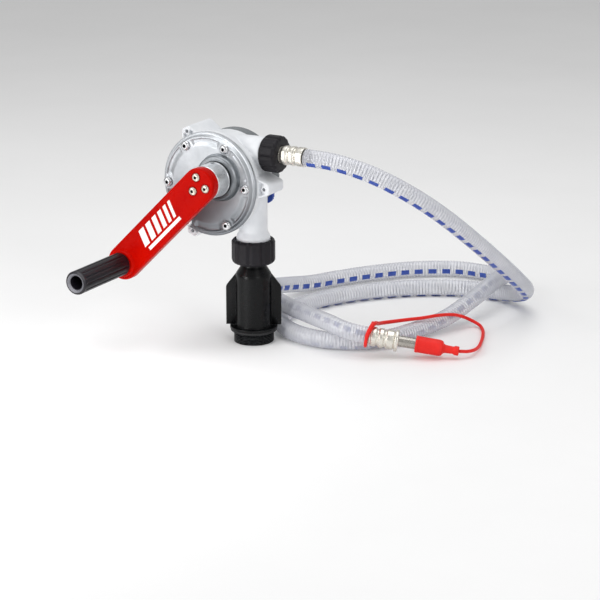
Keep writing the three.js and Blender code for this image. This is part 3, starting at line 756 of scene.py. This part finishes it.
def cap_strap():
    start = (FITTING_START + FITTING_AXIS * (KNOB_END + 0.3)) * MM
    knots = [start] + [Vector(p) * MM for p in STRAP_ROUTE]
    for r, degrees, along in STRAP_WRAP:
        a = radians(degrees)
        knots.append(placed(FITTING, r * cos(a), r * sin(a), along))
    line, length = even(curve_through(knots, 1.5 * MM), 2.5 * MM)

    def strap_radius(i, angle):
        thicker = smoothstep(0.55, 0.95, i / len(line))
        return (STRAP_R - 0.2 + 0.5 * thicker) * MM

    strap = sweep("cap_strap_cord", carried_frames(line, (0, 0, 1)), strap_radius, 20)
    strap.data.materials.append(materials["red_rubber"])
    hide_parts("cap_strap")
    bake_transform(strap)
    return strap, line, length


strap, strap_line, strap_length = cap_strap()


# ---------- casing
def lug_block(angle, shift, low, trim):
    """A mounting lug with its pocket and the boss left standing in it."""
    place = head_at(*polar(shift, angle, CASE), 0, angle)
    end = LUG_END - trim
    outline = [(52, -19), (74, -15.5), (end - 3, -8.5), (end, -5.5), (end, 5.5), (end - 3, 8.5),
               (74, 15.5), (52, 19)]
    pocket = [(78, -11), (end - 4.5, -6), (end - 2.5, -4), (end - 2.5, 4), (end - 4.5, 6), (78, 11)]
    pocket_levels = [(1.2, CASE_HALF - 8), (0, CASE_HALF + 1)]
    block = slab("tool", dense(outline, 4), [(0, low), (0, CASE_HALF - 1)], place)
    recess = slab("tool", dense(pocket, 4), pocket_levels, place)
    at_hole = place @ Matrix.Translation((LUG_HOLE_R * MM, 0, 0))
    boss = rod(LUG_BOSS_R, -6, CASE_HALF - 1, at_hole)
    combine(block, [recess])
    return combine(block, [boss], "UNION")


def rear_flat():
    """A cutter that takes the lower right of the casing's back away, beside the plug."""
    outline = [(57, -50), (90, -50), (90, 50), (57, 50)]
    return slab("tool", outline, [(0, -70), (0, -10)], head_at(*CASE, 0, -42))


def pump_casing():
    can_profile = [(0, -CASE_HALF), (CASE_BACK_R, -CASE_HALF), (CASE_BACK_R, -23), (69.2, -22.6),
                   (72, 23), (COVER_R, 26), (COVER_R, CASE_HALF), (0, CASE_HALF)]
    neck_profile = [(0, NECK_END), (26.4, NECK_END), (26.4, 153), (25, 154), (25, 161),
                    (NECK_R, 169), (NECK_R, 262), (0, 262)]
    stub_profile = [(0, -34), (20, -34), (22.6, -20), (23, 12), (23, 21.5), (20.8, 21.5),
                    (20.8, 38), (0, 38)]
    parts = [
        lathe("tool", can_profile, head_at(*CASE), soft=0.4),
        lathe("tool", neck_profile, UPRIGHT),
        lathe("tool", stub_profile, OUTLET),
    ]
    body = joined("pump_casing_shell", parts + [lug_block(*lug) for lug in LUGS])
    fused = body.modifiers.new("fuse", "REMESH")
    fused.mode = "VOXEL"
    fused.voxel_size = 1.25 * MM
    eased = body.modifiers.new("ease", "SMOOTH")
    eased.factor = 0.6
    eased.iterations = 7
    applied(body)
    tools = [
        rod(CHAMBER_R, -CASE_HALF - 4, CASE_HALF + 4, head_at(*CHAMBER), 96),
        rod(15, NECK_END - 4, 232, UPRIGHT),
        rod(13, -20, 42, OUTLET),
        rear_flat(),
    ]
    for angle, shift, _, _ in LUGS:
        hole = polar(LUG_HOLE_R + shift, angle, CASE)
        tools.append(rod(2.8, 8, CASE_HALF + 4, head_at(*hole), 24))
    return combine(body, tools, sharp=50)


finish_piece(pump_casing(), "pump", "grey_paint", "pump_casing")


# ---------- covers
def screw_spot(i):
    return polar(SCREW_CIRCLE, SCREW_TURN + 60 * i, SCREW_CENTRE)


def cover_height(radius, degrees):
    """The height of the cast front cover's face at a point about the casing's centre.

    The face has a shallow pocket between each two screws, a flat seat round each screw, and falls
    to a ledge at the rim."""
    if radius > 73.4:
        return COVER_LEDGE - 1.6 * smoothstep(75.4, COVER_R, radius)
    spot = polar(radius, degrees, CASE)
    screw = min(dist(spot, screw_spot(i)) for i in range(6))
    between = smoothstep(10.8, 14.6, screw)
    pocket = smoothstep(56.5, 64.5, radius) * (1 - smoothstep(67.4, 69.6, radius))
    rim = 0.35 * smoothstep(66.5, 69, radius)
    seat = 0.25 * (1 - smoothstep(8.6, 9.2, screw))
    fall = smoothstep(70.2, 73.6, radius) ** 1.3
    face = COVER_FACE + rim - 2.4 * between * pocket + seat
    return face * (1 - fall) + COVER_LEDGE * fall


def front_cover():
    place = head_at(*CASE)
    sides = 288
    turns = [360 * i / sides for i in range(sides)]
    radii = [4, 12, 20, 28, 36, 44, 50, 54, 56]
    radii += [56.5 + 0.8 * k for k in range(22)] + [74.2, 75.2, 76, 76.6, COVER_R]
    rows = [[placed(place, *polar(r, t), cover_height(r, t)) for t in turns] for r in radii]
    for r, z in [(COVER_R, COVER_BACK + 0.5), (COVER_R - 0.5, COVER_BACK)]:
        rows.append([placed(place, *polar(r, t), z) for t in turns])
    plate = mesh_object("front_cover_plate", *skin(rows))
    plate.data.flip_normals()
    return combine(plate, [rod(COVER_BORE_R, COVER_BACK - 2, COVER_FACE + 6, head_at(*SHAFT))])


finish_piece(front_cover(), "pump", "cover_aluminium", "front_cover")
boss_profile = [(COVER_BORE_R, 48.2), (35.6, 48.2), (34.4, 49.6), (34, 51.5), (33.6, 56),
                (31.2, 59), (26.2, 59), (25.4, 57.6), (14.2, 57.6), (14.2, 51.9),
                (COVER_BORE_R, 51.9)]
# The boss wears a darker copy of the cover's aluminium: painted shade.
turned("front_cover_boss", None, boss_profile, head_at(*SHAFT), "pump", "boss_aluminium_painted_shade", 128, 1.0,
       slot="cover_aluminium")


def rear_cover():
    """The rear cover, whose grooved skirt reaches forward round the casing's back edge."""
    skirt = -22.0
    grooves = 6
    pitch = 3.1
    groove_r = REAR_RIM_R - 2.4
    inner_r = CASE_BACK_R + 0.2
    profile = [(inner_r, skirt), (REAR_RIM_R, skirt)]
    for k in range(grooves):
        z = skirt - pitch * k
        profile += [(REAR_RIM_R, z - 0.45 * pitch), (groove_r, z - 0.5 * pitch),
                    (groove_r, z - 0.95 * pitch), (REAR_RIM_R, z - pitch)]
    foot = skirt - grooves * pitch
    profile += [(REAR_RIM_R, foot - 1), (66, foot - 2.5), (63, -REAR_FACE), (57, -REAR_FACE),
                (56, -REAR_FACE + 1), (30, -REAR_FACE + 1), (29, -REAR_FACE), (0.5, -REAR_FACE),
                (0.5, -COVER_BACK), (inner_r, -COVER_BACK)]
    boss_points = [(0, -41), (22.5, -41), (20.5, -50), (20, -53.4), (17, -56.3), (0, -56.3)]
    plate = lathe("rear_cover_plate", profile, head_at(*CASE), 128, 0.25)
    combine(plate, [lathe("tool", boss_points, head_at(*SHAFT), 96, 1.0)], "UNION")
    bore = rod(COVER_BORE_R, -60, -COVER_BACK + 2, head_at(*SHAFT))
    return combine(plate, [bore, rear_flat(), rod(5.4, -60, -40, head_at(*PLUG))])


finish_piece(rear_cover(), "pump", "rear_grey", "rear_cover")


def rear_gasket():
    """The sheet between the casing and the rear cover, cut back with them."""
    profile = [(0, -37.1), (65, -37.1), (65, -36.3), (0, -36.3)]
    sheet = lathe("rear_gasket_sheet", profile, head_at(*CASE), 96, 0.1)
    tools = []
    for i in range(4):
        hole = polar(REAR_SCREW_CIRCLE, 90 * i, CASE)
        tools.append(rod(3.2, -40, -34, head_at(*hole), 16))
    tools += [rod(CHAMBER_R + 0.8, -40, -34, head_at(*CHAMBER), 96), rear_flat()]
    return combine(sheet, tools)


finish_piece(rear_gasket(), "pump", "black_rubber", "rear_gasket")


# ---------- screws
def button_screw(name, place, head_r, head_h, key_r, body, metal="steel"):
    """A domed screw with a hexagon socket, whose head sits on its frame's z = 0."""
    shank_r = 2.6
    dome = 0.62
    steps = 8
    dome_top = 0.86
    profile = [(0, -12), (shank_r, -12), (shank_r, 0), (head_r - 0.4, 0), (head_r, 0.5)]
    for k in range(1, steps + 1):
        a = radians(90 * k / steps * dome_top)
        r = head_r * (dome * cos(a) + (1 - dome)) if k < steps else head_r * 0.5
        rise = sin(a) / sin(radians(90 * dome_top))
        profile.append((r, 0.5 + (head_h - 0.5) * rise))
    profile.append((0, head_h))
    screw = lathe(name + "_body", profile, place, 48, 0.2)
    combine(screw, [hexagon(key_r, head_h * 0.3, head_h + 2, place)])
    finish_piece(screw, body, metal, name, slot="steel")
    # The inside of the hex socket is painted dark: painted shade in the recess.
    repaint(screw, materials["socket_painted_shade"], place,
            lambda r, z: r < key_r * 1.01 and 0 < z < head_h - 0.15)


for i in range(6):
    button_screw(f"cover_screw_{i + 1}", head_at(*screw_spot(i), SCREW_SEAT, 17 * i), 7.3, 4.9, 3.0,
                 "pump")
for i in range(4):
    spot = polar(REAR_SCREW_CIRCLE, 90 * i, CASE)
    button_screw(f"rear_screw_{i + 1}", facing_back(*spot, -REAR_FACE - 0.3), 5, 3.1, 2.1, "pump")
for i, angle in enumerate(CRANK_SCREW_ANGLES):
    spot = polar(CRANK_SCREW_CIRCLE, angle, SHAFT)
    button_screw(f"crank_screw_{i + 1}", head_at(*spot, ARM_FRONT - 1.4, 31 * i), 6.2, 3.8, 2.6,
                 "crank", "warm_steel")


# ---------- crank
ARM_PLACE = head_at(*SHAFT, 0, CRANK_ANGLE)


def crank_arm():
    """The flat arm, with rounded edges, a low lip round its face and a hollow back."""
    levels = [(2.2, ARM_BACK), (1.2, ARM_BACK + 0.3), (0.3, ARM_BACK + 1.2), (0, ARM_BACK + 2.4),
              (0, ARM_FRONT - 3.4), (0.25, ARM_FRONT - 2.0), (0.9, ARM_FRONT - 0.9),
              (1.8, ARM_FRONT - 0.25), (2.6, ARM_FRONT), (3.1, ARM_FRONT - 0.05),
              (3.6, ARM_FRONT - 0.4), (4.2, ARM_FRONT - 0.5)]
    hollow = [(0, ARM_BACK - 2), (0.6, ARM_BACK + 10), (2, ARM_BACK + 11)]
    arm = stadium_slab("crank_arm_blade", ARM_HALF, 0, THROW, levels, ARM_PLACE)
    tools = [
        stadium_slab("tool", 19, 50, 150, hollow, ARM_PLACE),
        rod(6.4, ARM_BACK - 2, ARM_FRONT + 8, head_at(*GRIP_CENTRE)),
    ]
    for angle in CRANK_SCREW_ANGLES:
        place = head_at(*polar(CRANK_SCREW_CIRCLE, angle, SHAFT))
        tools.append(rod(7.2, ARM_FRONT - 1.7, ARM_FRONT + 4, place, 48))
        tools.append(rod(3.4, ARM_BACK - 2, ARM_FRONT + 4, place, 24))
    return combine(arm, tools)


finish_piece(crank_arm(), "crank", "red_paint", "crank_arm")
collar_profile = [(6.4, ARM_FRONT - 2), (22.4, ARM_FRONT - 2), (21.2, ARM_FRONT + 0.2),
                  (20.4, ARM_FRONT + 1.6), (19.6, ARM_FRONT + 3.5), (6.4, ARM_FRONT + 3.5)]
turned("crank_arm_collar", None, collar_profile, head_at(*GRIP_CENTRE), "crank", "red_paint",
       soft=1.2)


def arm_stripes():
    """Plain slanted bars printed along the arm, over a plain rule."""
    slant = 4.0
    low, high = -16.0, 8.0
    gap = 5
    first = along = 57.0
    shapes = []
    for width in (5.5, 6.5, 8, 9, 10.5, 11.5):
        shapes.append([(along - slant, low), (along + width - slant, low),
                       (along + width + slant, high), (along + slant, high)])
        along += width + gap
    shapes.append([(first, 11.5), (along - gap, 11.5), (along - gap, 16.5), (first, 16.5)])
    levels = [(0, ARM_FRONT - 0.7), (0, ARM_FRONT - 0.44), (0.06, ARM_FRONT - 0.38)]
    parts = []
    for corners in shapes:
        parts.append(skin([[placed(ARM_PLACE, x, y, z) for x, y in offset_ring(corners, inset)]
                           for inset, z in levels]))
    return gathered("crank_arm_stripes", parts)


finish_piece(arm_stripes(), "crank", "white_print", slot="red_paint")


def crank_hub():
    profile = [(8.4, HUB_BACK), (HUB_R - 1.3, HUB_BACK), (HUB_R, HUB_BACK + 1.2),
               (HUB_R, HUB_BACK + 3.4), (HUB_R - 0.6, HUB_BACK + 3.9), (HUB_R - 0.6, HUB_FRONT - 1),
               (HUB_R - 1.3, HUB_FRONT), (8.4, HUB_FRONT)]
    grub_screw = axes((SHAFT[0], -67, SHAFT[1]), (1, 0, 0), (0, 0, 1))
    hub = lathe("crank_hub_body", profile, head_at(*SHAFT), 128, 0.4)
    return combine(hub, [rod(3.3, 9, 30, grub_screw, 32)])


finish_piece(crank_hub(), "crank", "hub_aluminium", "crank_hub", slot="cover_aluminium")


def flutes(angle, radius, z):
    """Twelve long grooves that fade out at both ends of the grip."""
    if radius < GRIP_R - 3:
        return 0.0
    fade = smoothstep(GRIP_BACK + 2, GRIP_BACK + 9, z)
    fade *= 1 - smoothstep(GRIP_FRONT - 9, GRIP_FRONT - 2, z)
    return -1.35 * fade * bumps(12, angle, 5)


def crank_grip():
    profile = [(6.5, GRIP_BACK), (GRIP_R - 1.2, GRIP_BACK), (GRIP_R, GRIP_BACK + 1.6)]
    profile += [(GRIP_R, GRIP_BACK + 3 + 2 * k) for k in range(55)]
    profile += [(GRIP_R, GRIP_FRONT - 2.4), (GRIP_R - 1.6, GRIP_FRONT - 0.4), (13.8, GRIP_FRONT),
                (11.2, GRIP_FRONT - 1.8), (10.3, GRIP_FRONT - 3.2), (10.2, SPINDLE_END),
                (6.5, SPINDLE_END)]
    grip = turned("crank_grip_sleeve", "crank_grip", profile, head_at(*GRIP_CENTRE), "grip",
                  "grip_plastic", 144, 0.5, flutes, "black_plastic")
    repaint(grip, materials["grip_end"], head_at(*GRIP_CENTRE),
            lambda r, z: r < 14 and z > GRIP_FRONT - 3.2)


crank_grip()
spindle_profile = [(0, ARM_BACK), (6, ARM_BACK), (6, SPINDLE_END + 0.3), (9, SPINDLE_END + 0.3),
                   (9, SPINDLE_END + 5), (7.6, SPINDLE_END + 6.6), (0, SPINDLE_END + 6.8)]
turned("grip_spindle_bolt", "grip_spindle", spindle_profile, head_at(*GRIP_CENTRE), "crank",
       "steel", 48)


# ---------- unions
def union_nut(node, size, lip_high, place, body):
    """A nut with ten grip lobes and a lip at one end that holds the joint."""
    r, low, high, bore, lip, lip_t = size

    def lobed(angle, radius, z):
        if radius < r - 4.5:
            return 0.0
        waist = smoothstep(low + 3, low + 6, z)
        grooves = (0.5 + 1.3 * waist) * bumps(NUT_LOBES, angle, 6)
        return -grooves - 0.25 * cos(2 * NUT_LOBES * angle) * waist

    steps = 9
    profile = [(bore if lip_high else lip, low), (r - 3.2, low), (r - 0.8, low + 2.4)]
    profile += [(r, low + 4 + (high - low - 8) * k / steps) for k in range(steps + 1)]
    profile += [(r - 0.8, high - 2.4), (r - 3.2, high)]
    if lip_high:
        profile += [(lip, high), (lip, high - lip_t), (bore, high - lip_t)]
    else:
        profile += [(bore, high), (bore, low + lip_t), (lip, low + lip_t)]
    turned(node + "_ring", node, profile, place, body, "black_plastic", 160, 0.7, lobed)


union_nut("inlet_union_nut", INLET_NUT, False, UPRIGHT, "inlet_nut")
union_nut("outlet_union_nut", OUTLET_NUT, True, OUTLET, "outlet_nut")


# ---------- bung adapter
def thread(angle, radius, z):
    """A helical pipe thread on the spigot below the collar."""
    if z > 15.4 or z < -13.5 or radius < 29:
        return 0.0
    phase = (z / THREAD_PITCH - angle / TAU) % 1
    return -THREAD_DEPTH * abs(2 * phase - 1)


def bung_adapter():
    """The threaded spigot, its collar and the reducing neck, with a wing at each side."""
    spigot = [(THREAD_R, -13 + 0.55 * k) for k in range(53)]
    profile = [(ADAPTER_BORE_R, -15), (28.4, -15)] + spigot
    profile += [(28, 17.2), (28, COLLAR_LOW), (COLLAR_R, COLLAR_LOW), (COLLAR_R, COLLAR_HIGH),
                (ADAPTER_R, COLLAR_HIGH), (ADAPTER_R, 101), (26, 104.5), (18.6, 116), (18.2, 118),
                (18.2, 125), (24, 125), (24, 131), (ADAPTER_BORE_R, 131)]
    body = lathe("bung_adapter_body", profile, UPRIGHT, 120, 0.9, thread)
    outline = dense([(21, 25), (41, 25), (41, 83), (39.6, 86.4), (22.5, 108.5), (21, 108.5)], 5)
    levels = [(0.9, -WING_HALF), (0.25, -2.0), (0, -1.4), (0, 1.4), (0.25, 2.0), (0.9, WING_HALF)]
    wings = []
    for turn in (0, 180):
        out = Vector(polar(1, WING_ANGLE + turn) + (0,))
        place = axes((0, 0, 0), out, out.cross(Vector((0, 0, 1))))
        wings.append(slab("tool", outline, levels, place))
    return combine(body, wings, "UNION", 32)


finish_piece(bung_adapter(), "pump", "gloss_black", "bung_adapter")


# ---------- delivery line fittings
def crimp(angle, radius, z):
    """Eight soft flats that the crimping jaws leave on the bands."""
    if radius < 11.5:
        return 0.0
    return -0.16 * bumps(8, angle, 3)


def ferrule_profile(length, inner, flange=False):
    """Three crimped bands with a groove between each two, and a flange at the end if it has one."""
    third = (length - 4) / 3
    points = [(inner, 0), (12.2, 0), (12.2, 3), (13.6, 3.3)]
    for i in range(3):
        start = 4 + i * third
        end = start + third
        points += [(FERRULE_R, start + 0.5), (FERRULE_R, end - 5)]
        if i < 2:
            points += [(FERRULE_GROOVE_R, end - 3.6), (FERRULE_GROOVE_R, end - 1.4)]
    if flange:
        points += [(FERRULE_R, length - 1), (12.4, length - 0.4), (12.4, length + 0.4),
                   (15.4, length + 0.8), (16, length + 1.8), (16, length + 4.6), (15.2, length + 6),
                   (inner, length + 6)]
    else:
        points += [(FERRULE_R, length - 0.6), (13.6, length), (inner, length)]
    return points


outlet_place = OUTLET @ Matrix.Translation((0, 0, 49.8 * MM))
turned("outlet_ferrule_sleeve", "outlet_ferrule", ferrule_profile(37.2, 10.1), outlet_place, "pump",
       "zinc", 128, 0.8, crimp)
tail_profile = [(7.5, 41.3), (20.4, 41.3), (20.4, 44.7), (12.2, 44.7), (12.2, 49.4), (9.8, 49.4),
                (9.8, 87), (7.5, 87)]
turned("hose_tail_body", "hose_tail", tail_profile, OUTLET, "pump", "zinc", soft=0.4)
turned("end_ferrule_sleeve", "end_ferrule", ferrule_profile(37, 8.5, True), FITTING, "pump", "zinc",
       128, 0.8, crimp)
turned("spout_tube_pipe", "spout_tube", [(6.8, 1), (SPOUT_R, 1), (SPOUT_R, 100), (6.8, 100)],
       FITTING, "pump", "tube_steel", soft=0.4, slot="steel")
cap_profile = [(0, CAP_START), (CAP_R - 0.9, CAP_START), (CAP_R, CAP_START + 1),
               (CAP_R, CAP_START + 3.6), (12.1, CAP_START + 4.4), (12.0, CAP_END - 5),
               (10.9, CAP_END - 0.8), (7.4, CAP_END + 1.2), (6.0, CAP_END + 4), (5.4, KNOB_END - 8),
               (6.9, KNOB_END - 6.2), (6.9, KNOB_END - 1), (6, KNOB_END), (0, KNOB_END)]
cap = lathe("spout_cap_body", cap_profile, FITTING, 96, 0.9)
combine(cap, [rod(SPOUT_R + 0.3, CAP_START - 2, CAP_END - 6, FITTING)])
finish_piece(cap, "cap", "red_rubber", "spout_cap")


def strap_ring():
    """The strap's own loop round the hose, whose top rides up over the ferrule's first crimp."""
    turns = 96
    sides = 20
    rows = []
    for i in range(turns):
        a = TAU * i / turns
        raised = smoothstep(0.1, 0.95, cos(a))
        along = -3.0 + 5.4 * raised
        row = []
        for k in range(sides):
            b = TAU * k / sides
            r = RING_R + 4.0 * raised + 2.3 * cos(b)
            row.append(placed(FITTING, r * cos(a), r * sin(a), along + 2.5 * sin(b)))
        rows.append(row)
    return mesh_object("strap_ring_loop", *skin(rows, True), sharp=60)


finish_piece(strap_ring(), "pump", "red_rubber", "strap_ring")


# ---------- suction side, plug and seals
def pipe(inner, outer, low, high):
    return [(inner, low), (outer, low), (outer, high), (inner, high)]


turned("suction_tube_upper_pipe", "suction_tube_upper",
       pipe(12.6, UPPER_TUBE_R, UPPER_TUBE_END, 118), UPRIGHT, "pump", "tube_steel", soft=0.3,
       slot="steel")
turned("suction_tube_lower_pipe", "suction_tube_lower",
       pipe(10.7, LOWER_TUBE_R, LOWER_TUBE_END, -5), UPRIGHT, "lower_tube", "tube_steel", soft=0.3,
       slot="steel")
turned("bung_gasket_ring", "bung_gasket", pipe(30.1, 34.5, 17.2, 20.2), UPRIGHT, "pump",
       "black_rubber")


def plug_notches(angle, radius, z):
    """Twenty shallow notches round the plug's head."""
    if radius <= 11.5 or z <= 0:
        return 0.0
    return -0.5 * bumps(20, angle, 3)


plug_profile = [(0, -8), (5, -8), (5, 0), (13.2, 0), (13.7, 0.8), (13.7, 5.6), (12, 7.8), (9, 7.8),
                (8.4, 6.9), (0, 6.9)]
turned("rear_plug_knob", "rear_plug", plug_profile, facing_back(*PLUG, -REAR_FACE - 0.3), "pump",
       "blue_plastic", 120, 0.8, plug_notches)
foot_profile = [(6, -405), (14.2, -405), (15, -404), (15, -384.5), (14, -383), (12.5, -383),
                (12.5, FOOT_SEAT), (6, FOOT_SEAT)]
turned("foot_valve_body_shell", "foot_valve_body", foot_profile, UPRIGHT, "lower_tube",
       "black_plastic", soft=0.6)


def lock_collar():
    """The collar that locks the telescopic tube, hollowed below where the upper tube ends."""
    low = TUBE_STEP - 12
    profile = [(12.5, low), (17.5, low), (19.3, TUBE_STEP - 9.5)]
    profile += [(19.5, TUBE_STEP - 9 + 24 * k / 8) for k in range(9)]
    profile += [(18, -344), (14.5, -344), (14.5, TUBE_STEP), (12.5, TUBE_STEP)]

    def knurl(angle, radius, z):
        if radius < 18.4:
            return 0.0
        return -1.2 * bumps(8, angle, 8) * smoothstep(TUBE_STEP - 10, TUBE_STEP - 7, z)

    turned("tube_lock_collar_ring", "tube_lock_collar", profile, UPRIGHT, "lock_collar",
           "black_plastic", 128, 0.8, knurl)


lock_collar()


def foot_strainer():
    """A cup with eight slots through its wall."""
    profile = [(0, -425.7), (13.4, -425.7), (15, -424.2), (15, -405.3), (13, -405.3), (13, -423.4),
               (0, -423.4)]
    cup = lathe("foot_strainer_cup", profile, UPRIGHT, 96, 0.6)
    slot = [(8, -2), (19, -2), (19, 2), (8, 2)]
    tools = []
    for i in range(8):
        turn = axes((0, 0, 0), polar(1, 45 * i) + (0,), (0, 0, 1))
        tools.append(slab("tool", slot, [(0, -421), (0, -409)], turn))
    finish_piece(combine(cup, tools), "lower_tube", "black_plastic", "foot_strainer")


foot_strainer()

# CAD nodes whose shape is right keep it and get the finish of their slot.
CARRIED = {
    "black_rubber": ("front_gasket", "shaft_seal", "inlet_flat_seal", "outlet_flat_seal",
                     "tube_seal_ring", "foot_valve_disc"),
    "bronze": ("front_bush", "rear_bush"),
    "steel": ("pump_shaft", "rotor_key", "hub_grub_screw"),
    "carbon": ("rotor", "vane_1", "vane_2", "vane_3", "vane_4"),
}
for material, nodes in CARRIED.items():
    for node in nodes:
        slots = frame["nodes"][node].data.materials
        slots.clear()
        slots.append(materials[material])


# ---------- floor and lights
FLOOR_HALF = 6.0
signs = ((-1, -1), (1, -1), (1, 1), (-1, 1))
corners = [(x * FLOOR_HALF, y * FLOOR_HALF, 0) for x, y in signs]
floor = mesh_object("floor", corners, [(0, 1, 2, 3)])
paper = Shader("floor_paper", "f2f2f2", "f6f6f6", (0.85, 0.95), blotch=2)
floor.data.materials.append(paper.material)


def area_light(name, place, target, size, power):
    """A rectangular lamp. Places and sizes are in metres and the power is in watts."""
    data = bpy.data.lights.new(name, "AREA")
    data.shape = "RECTANGLE"
    data.size, data.size_y = size
    data.energy = power
    lamp = bpy.data.objects.new(name, data)
    lamp.location = place
    lamp.rotation_euler = (Vector(target) - Vector(place)).to_track_quat("-Z", "Y").to_euler()
    scene.collection.objects.link(lamp)


area_light("key", (-1.5, -1.7, 1.5), (0, 0, 0.15), (0.8, 1.4), 17)
area_light("strip", (-0.8, -2.3, 0.4), (0, 0, 0.1), (0.35, 0.7), 10)
area_light("floor_glow", (-0.19, -0.62, 0.22), (-0.195, -0.636, 0), (0.2, 0.8), 1.6)
area_light("fill", (2.0, -1.2, 1.1), (0.1, 0.1, 0.1), (0.8, 1.6), 11)
area_light("top", (0.1, 0.3, 2.2), (0.1, 0.1, 0), (1.8, 1.8), 20)
world = bpy.data.worlds.new("studio")
world.use_nodes = True
background = world.node_tree.nodes["Background"].inputs
background["Color"].default_value = (1, 1, 1, 1)
background["Strength"].default_value = 0.5
scene.world = world
scene.view_settings.view_transform = "Standard"
